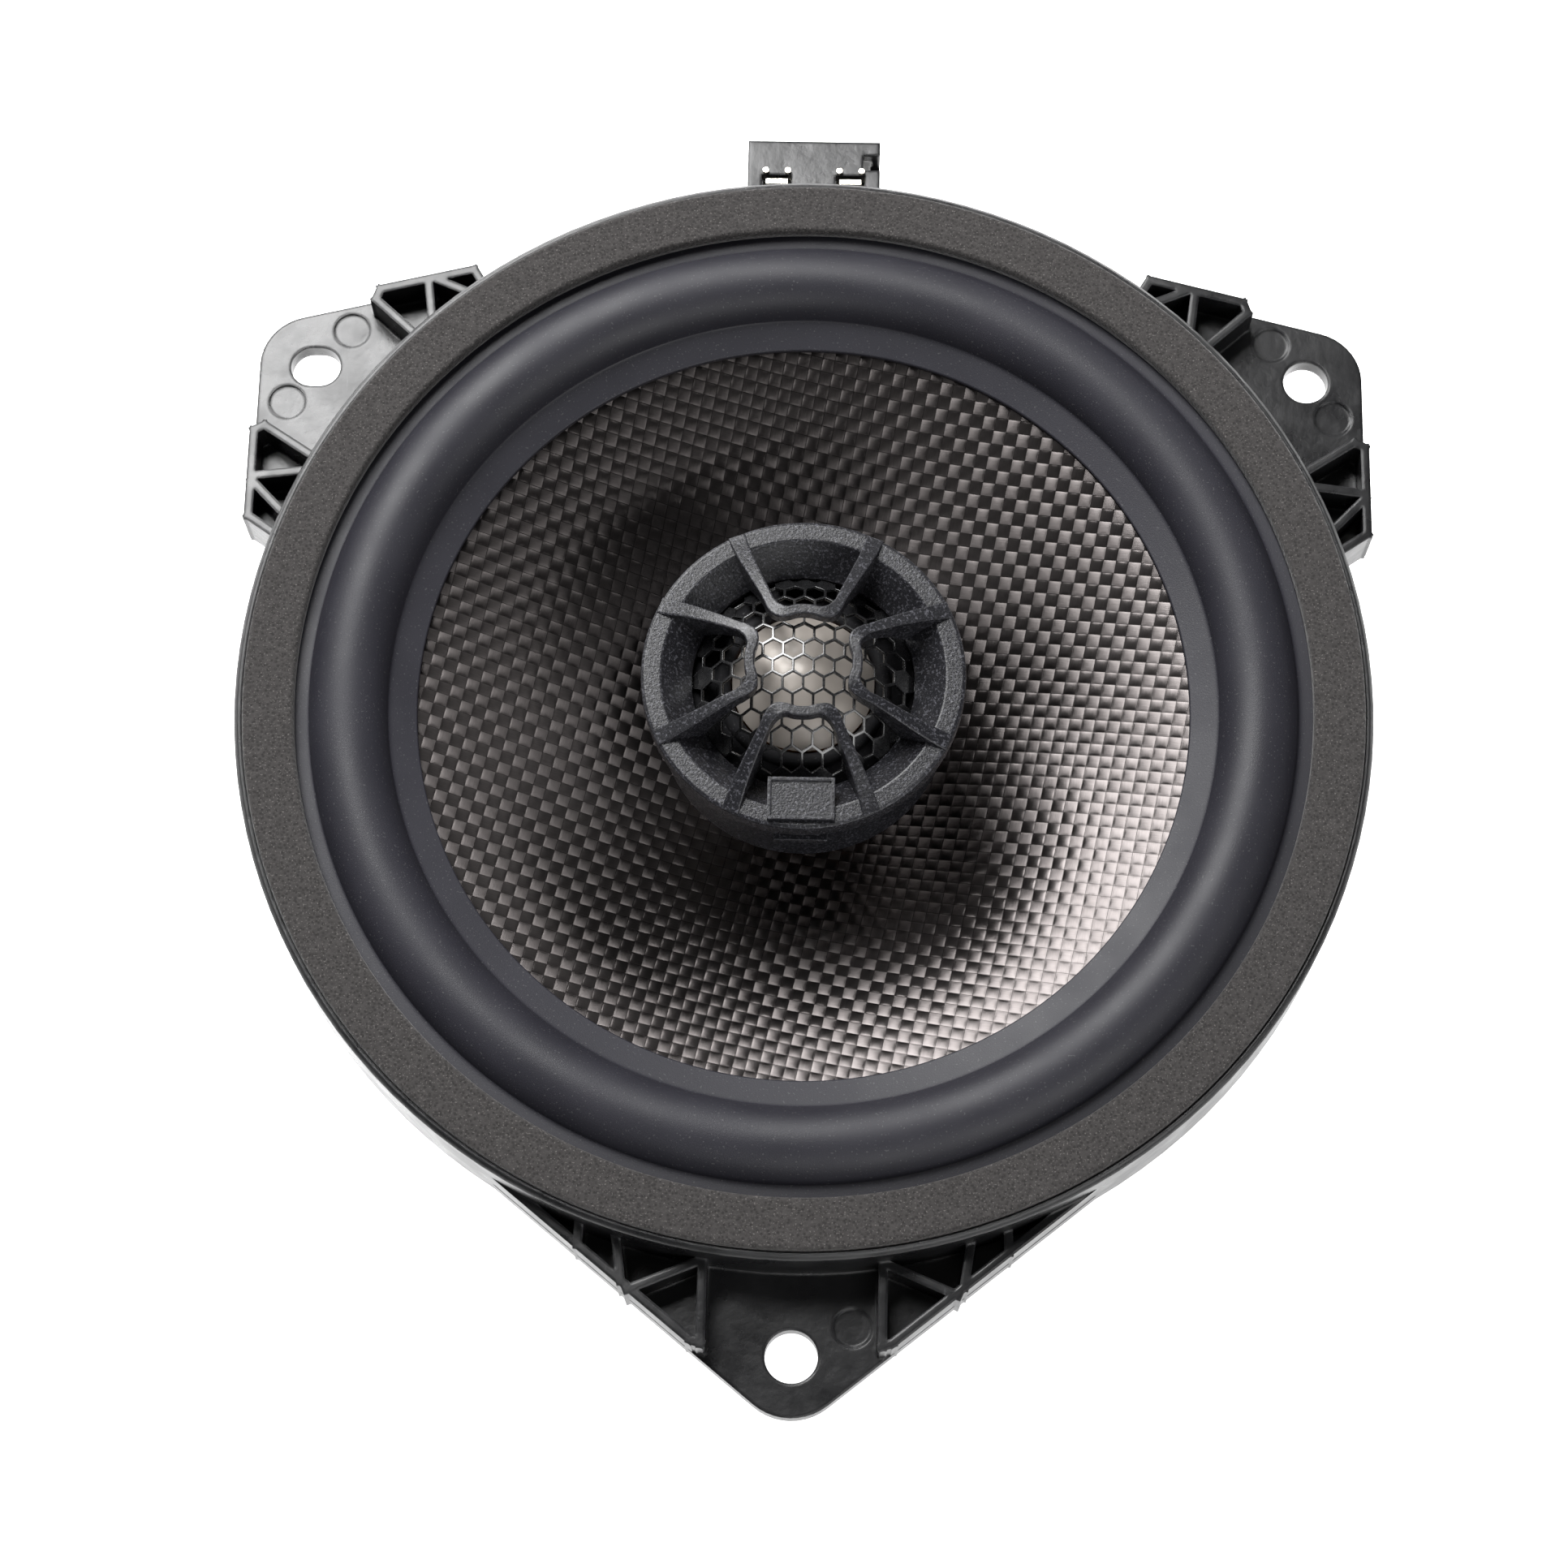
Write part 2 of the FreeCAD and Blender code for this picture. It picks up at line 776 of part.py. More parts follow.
def make_basket():
    right = side_ear("right_ear", 1)
    left = side_ear("left_ear", -1)
    bottom = lower_ear()
    drill(right, "right_hole", (size.side_hole_x, size.side_hole_y), size.side_hole_radius)
    cut_slot(left)
    drill(bottom, "lower_hole", (0, -size.lower_hole_y), size.lower_hole_radius)
    ejector_marks(right, "right_ejectors", SIDE_EJECTORS)
    ejector_marks(left, "left_ejectors", [(-x, y) for x, y in SIDE_EJECTORS])
    ejector_marks(bottom, "lower_ejectors", LOWER_EJECTORS)
    walls = webs("right_web", SIDE_EAR_WEBS, 1)
    walls += webs("left_web", SIDE_EAR_WEBS, -1)
    walls += webs("lower_right_web", LOWER_EAR_WEBS, 1)
    walls += webs("lower_left_web", LOWER_EAR_WEBS, -1)
    ears = fused("ears", [right, left, bottom] + walls)
    core = cylinder("rim_core", size.rim_radius - size.rim_wall / 2, as_length(-1), size.web_top + 1)
    return fused("basket", [basket_frame(), cut("trimmed_ears", ears, core)])


# ---------------------------------------------------------------- soft front parts and cone


def make_front_gasket():
    foot = size.seat_height + size.surround_flange
    return turned(
        "front_gasket",
        [
            (size.gasket_inner_radius, foot),
            (size.gasket_radius, foot),
            (size.gasket_radius, size.gasket_front),
            (size.gasket_inner_radius, size.gasket_front),
        ],
    )


def lip_slope():
    """How much the surround's inner lip drops for each millimetre towards the axis."""
    rise = SIZES["roll_foot"] - SIZES["lip_inner_height"]
    return rise / (SIZES["roll_inner_radius"] - SIZES["lip_inner_radius"])


def make_surround():
    """Rubber: a flat flange under the gasket, one half roll, and a sloping lip glued to the cone."""
    wall = SIZES["surround_wall"]
    seat = size.seat_height
    face = seat + size.surround_flange
    middle = (SIZES["roll_outer_radius"] + SIZES["roll_inner_radius"]) / 2
    lip_outer = at(size.roll_inner_radius, size.roll_foot)
    lip_inner = at(size.lip_inner_radius, size.lip_inner_height)
    under_outer = at(SIZES["roll_inner_radius"] + wall, SIZES["roll_foot"] - wall + wall * lip_slope())
    under_inner = lip_inner - Vector(0, 0, wall)
    roll_outer = at(size.roll_outer_radius, face)
    under_roll = at(SIZES["roll_outer_radius"] - wall, SIZES["seat_height"])
    crown = at(middle, size.roll_peak)
    return shaped(
        "surround",
        spun(
            [
                side(at(size.surround_radius, seat), at(size.surround_radius, face)),
                side(at(size.surround_radius, face), roll_outer),
                bow(roll_outer, crown, lip_outer),
                side(lip_outer, lip_inner),
                side(lip_inner, under_inner),
                side(under_inner, under_outer),
                bow(under_outer, crown - Vector(0, 0, wall), under_roll),
                side(under_roll, at(size.surround_radius, seat)),
            ]
        ),
    )


def cone_edge_height():
    """The front face of the cone at its edge, just under the surround's lip."""
    reach = SIZES["cone_radius"] - SIZES["lip_inner_radius"]
    under_lip = SIZES["lip_inner_height"] + reach * lip_slope() - SIZES["surround_wall"]
    return under_lip - SIZES["glue_gap"]


def make_cone():
    """Woven cone, slightly flared, with a short collar round the former."""
    wall = Vector(0, 0, -SIZES["cone_wall"])
    edge = at(size.cone_radius, cone_edge_height())
    neck = at(size.cone_neck_radius, size.cone_neck_height)
    middle = bulged(neck, edge, SIZES["cone_bulge"])
    return shaped(
        "cone",
        spun(
            [
                bow(neck, middle, edge),
                side(edge, edge + wall),
                bow(edge + wall, middle + wall, neck + wall),
                side(neck + wall, neck),
            ]
        ),
    )


def make_voice_coil():
    """Former and its winding."""
    inner = size.former_inner_radius
    outer = inner + size.former_wall
    turned(
        "voice_coil_former",
        [(inner, size.former_foot), (outer, size.former_foot), (outer, size.former_top),
         (inner, size.former_top)],
    )
    wound = outer + size.winding_wall
    turned(
        "voice_coil_winding",
        [(outer, size.winding_foot), (wound, size.winding_foot), (wound, size.winding_top),
         (outer, size.winding_top)],
    )


def spider_line(lift):
    """The spider's wavy section as a smooth curve through its crests and troughs."""
    inner = SIZES["former_inner_radius"] + SIZES["former_wall"] + SIZES["glue_gap"]
    start = inner + 2.0
    end = SIZES["shelf_inner_radius"]
    steps = SIZES["spider_rolls"] * 8
    points = [at(inner, SIZES["spider_height"] + lift)]
    for step in range(steps + 1):
        share = step / steps
        wave = SIZES["spider_wave"] * math.sin(2 * math.pi * SIZES["spider_rolls"] * share)
        drop = share * (SIZES["shelf_height"] - SIZES["spider_height"] + SIZES["glue_gap"])
        points.append(at(start + share * (end - start), SIZES["spider_height"] + drop + wave + lift))
    curve = Part.BSplineCurve()
    curve.interpolate(points)
    rim = at(size.spider_outer_radius, SIZES["shelf_height"] + SIZES["glue_gap"] + lift)
    return [curve.toShape(), side(points[-1], rim)], points[0], rim


def make_spider():
    """Corrugated cloth ring that centres the coil, glued on the basket's shelf."""
    top, top_start, top_rim = spider_line(SIZES["spider_wall"])
    bottom, bottom_start, bottom_rim = spider_line(0)
    ends = [side(top_rim, bottom_rim), side(bottom_start, top_start)]
    outline_edges = Part.__sortEdges__(top + bottom + ends)
    return shaped("spider", spun(outline_edges))


# ---------------------------------------------------------------- motor


def make_top_plate():
    body = turned(
        "top_plate",
        [
            (size.gap_radius, size.top_plate_rear),
            (size.top_plate_radius, size.top_plate_rear),
            (size.top_plate_radius, size.top_plate_front),
            (size.gap_radius, size.top_plate_front),
        ],
    )
    sketch = circle_sketch(
        body, "plate_hole_outline", screw_places(), size.screw_radius, size.top_plate_front
    )
    pocket(body, "plate_holes", sketch, size.top_plate_front - size.top_plate_rear)


def make_magnet():
    turned(
        "magnet",
        [
            (size.magnet_hole_radius, size.magnet_rear),
            (size.magnet_radius, size.magnet_rear),
            (size.magnet_radius, size.top_plate_rear),
            (size.magnet_hole_radius, size.top_plate_rear),
        ],
    )


def make_back_plate():
    """Steel yoke: disc and pole in one, bored for the post's stem, with a groove for the tweeter's wires."""
    body = new_body("back_plate")
    turn(
        body,
        "yoke_turn",
        [
            (size.yoke_recess_radius, size.yoke_rear),
            (size.yoke_radius, size.yoke_rear),
            (size.yoke_radius, size.magnet_rear),
            (size.pole_radius, size.magnet_rear),
            (size.pole_radius, size.top_plate_front),
            (size.stem_radius, size.top_plate_front),
            (size.stem_radius, size.magnet_rear),
            (size.yoke_recess_radius, size.magnet_rear),
        ],
    )
    half = size.groove_width / 2
    corners = [(-half, 0), (half, 0), (half, size.yoke_radius + 1), (-half, size.yoke_radius + 1)]
    top = size.yoke_rear + size.groove_depth
    sketch = outline(body, "groove_outline", "XY_Plane", corners, offset=top)
    pocket(body, "groove", sketch, size.groove_depth)


def make_magnet_boot():
    """Rubber boot over the magnet and yoke, open at the back and slit where the wires climb."""
    inner = size.boot_radius - size.boot_wall
    body = new_body("magnet_boot")
    turn(
        body,
        "boot_turn",
        [
            (size.boot_window_radius, size.boot_rear),
            (size.boot_radius, size.boot_rear),
            (size.boot_radius, size.boot_front),
            (inner, size.boot_front),
            (inner, size.yoke_rear),
            (size.boot_window_radius, size.yoke_rear),
        ],
    )
    half = size.groove_width / 2
    corners = [(-half, inner - 1), (half, inner - 1), (half, inner + 3), (-half, inner + 3)]
    sketch = outline(body, "boot_slit_outline", "XY_Plane", corners, offset=size.boot_front)
    pocket(body, "boot_slit", sketch, size.boot_front - size.yoke_rear)


def make_motor_screws():
    """Four pan-head screws that hold the basket on the top plate, as one group."""
    screws = []
    for number, place in enumerate(screw_places()):
        shank = cylinder(
            f"screw_shank_{number}", size.screw_radius, size.top_plate_rear, size.floor_top, place
        )
        top = size.floor_top + size.screw_head_height
        head = cylinder(f"screw_head_{number}", size.screw_head_radius, size.floor_top, top, place)
        screws.append(fused(f"screw_{number}", [shank, head]))
    group = DOC.addObject("Part::Compound", "motor_screws")
    group.Links = screws
    group.Label = "motor_screws"
    DOC.recompute()


# ---------------------------------------------------------------- tweeter


def make_tweeter_post():
    """Hollow post on the pole, with a stem pressed through the pole's bore."""
    turned(
        "tweeter_post",
        [
            (size.post_bore_radius, size.magnet_rear),
            (size.stem_radius, size.magnet_rear),
            (size.stem_radius, size.top_plate_front),
            (size.post_radius, size.top_plate_front),
            (size.post_radius, size.housing_foot),
            (size.post_bore_radius, size.housing_foot),
        ],
    )


def make_tweeter_housing():
    """Cup that holds the tweeter's motor, with a small latch tab under the bezel."""
    inner = size.housing_radius - size.housing_wall
    body = turned(
        "tweeter_cup",
        [
            (size.post_bore_radius, size.housing_foot),
            (size.housing_radius - size.housing_chamfer, size.housing_foot),
            (size.housing_radius, size.housing_foot + size.housing_chamfer),
            (size.housing_radius, size.bezel_rear),
            (inner, size.bezel_rear),
            (inner, size.housing_foot + size.housing_floor),
            (size.post_bore_radius, size.housing_foot + size.housing_floor),
        ],
    )
    tab = box(
        "latch_tab",
        (-size.latch_width / 2, -size.housing_radius - size.latch_reach, size.bezel_rear - size.latch_drop),
        (size.latch_width, size.latch_length, size.latch_thickness),
    )
    return fused("tweeter_housing", [body, tab])


def bezel_ring():
    """Flat outer band, then a conical face down to the mesh opening."""
    return turned(
        "bezel_ring",
        [
            (size.bezel_throat_radius, size.bezel_seat),
            (size.housing_radius - size.housing_wall, size.bezel_seat),
            (size.housing_radius - size.housing_wall, size.bezel_rear),
            (size.bezel_radius, size.bezel_rear),
            (size.bezel_radius, size.bezel_face - size.bezel_edge),
            (size.bezel_radius - size.bezel_edge, size.bezel_face),
            (size.bezel_flat_radius, size.bezel_face),
            (size.bezel_throat_radius, size.bezel_throat),
        ],
    )


def guard_envelope():
    """The turned volume that the guard's loops are cut from: low at the ring and high at the bars."""
    top = SIZES["guard_top"]
    face = SIZES["bezel_face"]
    bar = SIZES["loop_bar_radius"]
    inmost = bar - SIZES["loop_bar_width"] - 1
    rim = SIZES["bezel_radius"] - SIZES["guard_foot_inset"]
    brow = bar + SIZES["guard_brow_reach"]
    throat = SIZES["bezel_throat_radius"]
    throat_height = SIZES["bezel_throat"]
    root = SIZES["guard_root"]
    under_bar = top - SIZES["guard_bar_depth"]
    crown = [
        at(rim, face - root / 2),
        at(SIZES["bezel_flat_radius"] - SIZES["guard_shoulder_inset"], face + SIZES["guard_shoulder"]),
        at(brow, top - SIZES["guard_brow"]),
        at(inmost, top),
    ]
    belly = [
        at(inmost, under_bar),
        at(brow, under_bar - SIZES["guard_belly_sag"]),
        at(throat - SIZES["guard_belly_inset"], throat_height + SIZES["guard_belly_rise"]),
        at(throat + 2 * root, throat_height - root),
    ]
    inside_cup = SIZES["housing_radius"] - SIZES["housing_wall"] - root
    over_rear = SIZES["bezel_rear"] + root
    under_cone = at(inside_cup, throat_height - root)
    over_cup = at(inside_cup, over_rear)
    foot = at(rim, over_rear)
    upper = Part.BSplineCurve()
    upper.interpolate(crown)
    lower = Part.BSplineCurve()
    lower.interpolate(belly)
    return spun(
        [
            upper.toShape(),
            side(crown[-1], belly[0]),
            lower.toShape(),
            side(belly[-1], under_cone),
            side(under_cone, over_cup),
            side(over_cup, foot),
            side(foot, crown[0]),
        ]
    )


def loop_plan():
    """One loop in plan, towards +X: two spokes that close on a cross-bar, with rounded corners."""
    foot = SIZES["loop_foot_radius"]
    foot_half = SIZES["loop_foot_half"]
    foot_width = SIZES["loop_foot_width"]
    bar = SIZES["loop_bar_radius"]
    bar_half = SIZES["loop_bar_half"]
    bar_width = SIZES["loop_bar_width"]
    low, high = 0, SIZES["guard_top"] + 1
    outer = [
        (foot, -foot_half - foot_width / 2),
        (foot, foot_half + foot_width / 2),
        (bar - bar_width / 2, bar_half + bar_width / 2),
        (bar - bar_width / 2, -bar_half - bar_width / 2),
    ]
    inner = [
        (foot + 1, -foot_half + foot_width * 0.4),
        (foot + 1, foot_half - foot_width * 0.4),
        (bar + bar_width / 2, bar_half - bar_width * 0.7),
        (bar + bar_width / 2, -bar_half + bar_width * 0.7),
    ]
    outside = prism(outer, low, high)
    outside = outside.makeFillet(SIZES["loop_outer_bend"], corner_edges(outside, bar - bar_width / 2))
    inside = prism(inner, low - 1, high + 1)
    inside = inside.makeFillet(SIZES["loop_inner_bend"], corner_edges(inside, bar + bar_width / 2))
    return outside.cut(inside)


def corner_edges(solid, x):
    """Upright edges of a prism at one x."""
    found = []
    for edge in solid.Edges:
        first, last = edge.Vertexes[0].Point, edge.Vertexes[-1].Point
        in_plane = abs(first.x - x) < SAME_PLACE and abs(last.x - x) < SAME_PLACE
        if in_plane and abs(first.y - last.y) < SAME_PLACE:
            found.append(edge)
    return found


def make_tweeter_bezel():
    """The bezel with its four guard loops and the pedestal under the badge."""
    envelope = guard_envelope()
    loops = []
    for quarter in range(4):
        plan = loop_plan()
        plan.rotate(Vector(0, 0, 0), AXIS, 90 * quarter)
        loops.append(shaped(f"guard_loop_{quarter}", plan.common(envelope)))
    foot = size.bezel_rear + 0.1
    pedestal = box(
        "badge_pedestal",
        (-size.badge_width / 2, -size.badge_y - size.badge_height / 2, foot),
        (size.badge_width, size.badge_height, size.bezel_face - foot),
    )
    return fused("tweeter_bezel", [bezel_ring(), pedestal] + loops)


def make_badge_plate():
    """A blank plate with a raised border."""
    low = (-size.badge_width / 2, -size.badge_y - size.badge_height / 2, size.bezel_face)
    thickness = size.badge_face - size.bezel_face
    whole = (size.badge_width, size.badge_height, thickness + size.badge_border_height)
    blank = box("badge_blank", low, whole)
    border = size.badge_border
    field = box(
        "badge_field",
        (low[0] + border, low[1] + border, size.badge_face),
        (size.badge_width - border * 2, size.badge_height - border * 2, 1),
    )
    cut("badge_plate", blank, field)


def mesh_shell():
    """The mesh before it is pierced: a flange under the bezel and a dome above the tweeter."""
    wall = SIZES["mesh_wall"]
    opening = SIZES["bezel_throat_radius"] - SIZES["mesh_gap"]
    seat = SIZES["bezel_seat"] - SIZES["clearance"]
    rim = SIZES["mesh_radius"]
    peak = SIZES["mesh_peak"]
    shoulder = at(
        opening * SIZES["mesh_shoulder"], seat + (peak - seat) * SIZES["mesh_shoulder_rise"]
    )
    under = shoulder - Vector(wall / 2, 0, wall * math.cos(math.pi / 6))
    return spun(
        [
            side(at(rim, seat - wall), at(rim, seat)),
            side(at(rim, seat), at(opening, seat)),
            bow(at(opening, seat), shoulder, at(0, peak)),
            side(at(0, peak), at(0, peak - wall)),
            bow(at(0, peak - wall), under, at(opening - wall, seat - wall)),
            side(at(opening - wall, seat - wall), at(rim, seat - wall)),
        ]
    )


def make_tweeter_mesh():
    """Domed steel mesh of pointed-top hexagons over the dome."""
    opening = SIZES["bezel_throat_radius"] - SIZES["mesh_gap"]
    pitch = SIZES["hex_pitch"]
    corner = (pitch - SIZES["hex_wire"]) / 2 / math.cos(math.pi / 6)
    row_gap = pitch * math.cos(math.pi / 6)
    reach = math.ceil(opening / row_gap)
    low, high = SIZES["bezel_seat"] + SIZES["mesh_gap"], SIZES["mesh_peak"] + 1
    holes = []
    for row in range(-reach, reach + 1):
        for column in range(-reach - 1, reach + 2):
            x = (column + 0.5 * (row % 2)) * pitch
            y = row * row_gap
            if math.hypot(x, y) < opening - corner - SIZES["mesh_gap"]:
                holes.append(hexagon(x, y, corner, low, high))
    return shaped("tweeter_mesh", mesh_shell().cut(Part.makeCompound(holes)))


def hexagon(x, y, corner, low, high):
    places = []
    for step in range(6):
        angle = math.radians(60 * step + 30)
        places.append((x + corner * math.cos(angle), y + corner * math.sin(angle)))
    return prism(places, low, high)


def cap(radius, base, peak):
    """Half of a spherical cap's arc, from its peak on the axis out to its base."""
    rise = peak - base
    sphere = (rise ** 2 + radius ** 2) / (2 * rise)
    half_angle = math.asin(radius / sphere) / 2
    centre = peak - sphere
    middle = at(sphere * math.sin(half_angle), centre + sphere * math.cos(half_angle))
    return at(0, peak), middle, at(radius, base)


def make_tweeter_dome():
    """Moving dome: a thin spherical cap."""
    wall = SIZES["dome_wall"]
    base = SIZES["dome_base"]
    outer_top, outer_middle, outer_foot = cap(SIZES["dome_radius"], base, SIZES["dome_peak"])
    inner_top, inner_middle, inner_foot = cap(
        SIZES["dome_radius"] - wall, base, SIZES["dome_peak"] - wall
    )
    shaped(
        "tweeter_dome",
        spun(
            [
                bow(outer_top, outer_middle, outer_foot),
                side(outer_foot, inner_foot),
                bow(inner_foot, inner_middle, inner_top),
                side(inner_top, outer_top),
            ]
        ),
    )


def make_tweeter_surround():
    """Small half roll between the dome and its mounting ring."""
    wall = Vector(0, 0, -SIZES["dome_wall"])
    inner = SIZES["dome_radius"] + SIZES["glue_gap"]
    outer = SIZES["dome_roll_radius"]
    foot = at(inner, SIZES["dome_roll_foot"])
    crown = at((inner + outer) / 2, SIZES["dome_roll_peak"])
    edge = at(outer, SIZES["dome_ring_height"])
    rim = at(SIZES["dome_ring_radius"], SIZES["dome_ring_height"])
    under_edge = edge + wall - Vector(SIZES["dome_wall"], 0, 0)
    shaped(
        "tweeter_surround",
        spun(
            [
                side(foot + wall, foot),
                bow(foot, crown, edge),
                side(edge, rim),
                side(rim, rim + wall),
                side(rim + wall, under_edge),
                bow(under_edge, crown + wall, foot + wall),
            ]
        ),
    )


def make_tweeter_motor():
    """Voice coil, front plate, neodymium disc and yoke cup of the tweeter."""
    dome_edge = size.dome_radius
    coil_inner = dome_edge - size.tweeter_coil_wall
    turned(
        "tweeter_voice_coil",
        [
            (coil_inner, size.tweeter_coil_foot),
            (dome_edge, size.tweeter_coil_foot),
            (dome_edge, size.dome_base - size.clearance),
            (coil_inner, size.dome_base - size.clearance),
        ],
    )
    for name, radius, low, high in (
        ("tweeter_top_plate", size.tweeter_plate_radius, size.tweeter_plate_rear, size.tweeter_plate_front),
        ("tweeter_magnet", size.tweeter_magnet_radius, size.tweeter_magnet_rear, size.tweeter_plate_rear),
    ):
        turned(name, [(0, low), (radius, low), (radius, high), (0, high)])
    inner = size.tweeter_yoke_radius - size.tweeter_yoke_wall
    turned(
        "tweeter_yoke",
        [
            (0, size.tweeter_yoke_rear),
            (size.tweeter_yoke_radius, size.tweeter_yoke_rear),
            (size.tweeter_yoke_radius, size.tweeter_yoke_front),
            (inner, size.tweeter_yoke_front),
            (inner, size.tweeter_magnet_rear),
            (0, size.tweeter_magnet_rear),
        ],
    )


# ---------------------------------------------------------------- connector and wiring


def make_connector_housing():
    """Socket on the rim's outside at +Y that opens to the rear, with a keying notch at its +X side."""
    wall = size.connector_wall
    height = size.connector_front - size.connector_rear
    root = size.rim_radius - wall * 3
    whole = box(
        "connector_block",
        (-size.connector_width / 2, root, size.connector_rear),
        (size.connector_width, size.connector_outer_y - root, height),
    )
    socket = box(
        "connector_socket",
        (-size.connector_width / 2 + wall, size.rim_radius + wall, size.connector_rear - 1),
        (size.connector_width - wall * 2, size.connector_outer_y - size.rim_radius - wall * 2,
         height - size.connector_floor + 1),
    )
    notch = box(
        "keying_notch",
        (size.notch_x, size.notch_y, size.connector_front - size.notch_depth),
        (size.connector_width / 2, size.notch_length, size.notch_depth + 1),
    )
    recesses = []
    for number, sign in enumerate((-1, 1)):
        recess = box(
            f"terminal_recess_{number}",
            (size.blade_spacing / 2 * sign - size.recess_width / 2, root,
             size.connector_front - size.connector_floor - 1),
            (size.recess_width, size.recess_outer_y - root, size.connector_floor + 2),
        )
        recesses.append(recess)
    rim = cylinder(
        "connector_rim_cut", size.rim_radius, size.connector_rear - 1, size.connector_front + 1
    )
    tools = fused("connector_tools", [socket, notch, rim] + recesses)
    cut("connector_housing", whole, tools)


def make_terminal_blades():
    """Two tinned blades: a tab down into the socket, and two lugs riveted through its floor."""
    under_floor = size.connector_front - size.connector_floor
    blades = []
    for number, sign in enumerate((-1, 1)):
        x = size.blade_spacing / 2 * sign
        edge = x - size.blade_width / 2
        tab = box(
            f"blade_tab_{number}",
            (edge, size.blade_y - size.blade_thickness / 2, size.blade_rear),
            (size.blade_width, size.blade_thickness, size.blade_front - size.blade_rear),
        )
        bridge = box(
            f"blade_bridge_{number}",
            (edge - size.lug_radius, size.blade_y, under_floor - size.bridge_thickness),
            (size.blade_width + size.lug_radius * 2, size.lug_y + size.lug_radius - size.blade_y,
             size.bridge_thickness),
        )
        members = [tab, bridge]
        for end, turned_end in enumerate((-1, 1)):
            place = (x + size.blade_width / 2 * turned_end, size.lug_y)
            low = under_floor - size.bridge_thickness
            members.append(
                cylinder(f"blade_lug_{number}_{end}", size.lug_radius, low, size.lug_front, place)
            )
        blades.append(fused(f"blade_{number}", members))
    group = DOC.addObject("Part::Compound", "terminal_blades")
    group.Links = blades
    group.Label = "terminal_blades"
    DOC.recompute()


def frame_slope():
    """Angle of the frame's outer face from the XY plane, in degrees."""
    rise = SIZES["frame_top"] - SIZES["frame_foot"]
    return math.degrees(math.atan2(rise, SIZES["frame_outer_radius"] - SIZES["frame_foot_radius"]))


def on_frame(radius, proud, x=0.0):
    """A point over the +Y arm: proud millimetres outside the frame's rear face at a radius."""
    slope = math.radians(frame_slope())
    share = (SIZES["frame_outer_radius"] - radius) / math.cos(slope)
    height = SIZES["frame_top"] - share * math.sin(slope)
    return Vector(x, radius + proud * math.sin(slope), height - proud * math.cos(slope))


def lie_on_frame(radius, proud, x=0.0):
    """Placement whose +Y runs up the arm's rear face, and whose +Z points into it."""
    turn_over = Rotation(Vector(1, 0, 0), frame_slope())
    return Placement(on_frame(radius, proud, x), turn_over)


def make_terminal_strip():
    """Fibre strip with two solder tags on the rear of the +Y arm."""
    strip = DOC.addObject("Part::Box", "terminal_strip")
    strip.Label = "terminal_strip"
    for span, alias in (("Length", "strip_width"), ("Width", "strip_length"), ("Height", "strip_thickness")):
        strip.setExpression(span, f"sizes.{alias}")
    thickness = SIZES["strip_thickness"]
    half_width = SIZES["strip_width"] / 2
    strip.Placement = lie_on_frame(SIZES["strip_radius"] - 3.0, thickness, -half_width)
    tags = []
    for number, sign in enumerate((-1, 1)):
        tag = DOC.addObject("Part::Box", f"solder_tag_{number}")
        for span, alias in (("Length", "tag_width"), ("Width", "tag_length"), ("Height", "tag_thickness")):
            tag.setExpression(span, f"sizes.{alias}")
        x = sign * SIZES["tag_x"] - SIZES["tag_width"] / 2
        tag.Placement = lie_on_frame(SIZES["strip_radius"], thickness + SIZES["tag_lift"], x)
        tags.append(tag)
    group = DOC.addObject("Part::Compound", "solder_tags")
    group.Links = tags
    group.Label = "solder_tags"
    DOC.recompute()


def make_crossover_capacitor():
    """Axial capacitor in series with the tweeter, glued across the strip."""
    radius = SIZES["capacitor_radius"]
    length = SIZES["capacitor_length"]
    across = SIZES["strip_radius"] + 1.2
    centre = on_frame(across, SIZES["strip_thickness"] + radius)
    can = Part.makeCylinder(radius, length, centre - Vector(length / 2, 0, 0), Vector(1, 0, 0))
    rims = [edge for edge in can.Edges if edge.Closed and edge.Length > 2 * radius]
    can = can.makeFillet(SIZES["capacitor_edge"], rims)
    tag_face = on_frame(across, SIZES["strip_thickness"] + 0.9)
    for sign in (-1, 1):
        out = Vector(sign * (length - 1) / 2, 0, 0)
        tag = Vector(sign * SIZES["tag_x"], 0, 0)
        route = [centre + out, centre + tag, tag_face + tag]
        wire = wire_solid(route, SIZES["capacitor_wire_bend"], SIZES["capacitor_wire_radius"])
        can = can.fuse(wire)
    return shaped("crossover_capacitor", can)


def make_tinsel_leads():
    """Two flexible leads from the strip, through the windows beside the arm, to the back of the cone."""
    leads = []
    for sign in (-1, 1):
        points = [
            on_frame(SIZES["strip_radius"] + 0.4, 2.75, sign * (SIZES["tag_x"] + 0.9)),
            on_frame(SIZES["strip_radius"] - 4.5, 3.3, sign * 13.2),
        ]
        points += [Vector(sign * x, y, z) for x, y, z in TINSEL_ROUTE]
        leads.append(wire_solid(points, SIZES["lead_bend"], SIZES["tinsel_radius"]))
    return shaped("tinsel_leads", Part.makeCompound(leads))


def make_feed_leads():
    """Two insulated leads from the socket's blades, under the rim's foot, to the solder tags."""
    leads = []
    turn_y, level = FEED_TURN
    for sign in (-1, 1):
        x = sign * SIZES["blade_spacing"] / 2
        points = [
            Vector(x, SIZES["blade_y"] - SIZES["blade_thickness"] / 2, level),
            Vector(x, turn_y, level),
            on_frame(SIZES["strip_radius"] + 5.5, 4.5, sign * 9.0),
            on_frame(SIZES["strip_radius"] + 2.6, 2.85, sign * SIZES["tag_x"]),
        ]
        leads.append(wire_solid(points, SIZES["lead_bend"], SIZES["wire_radius"]))
    return shaped("feed_leads", Part.makeCompound(leads))


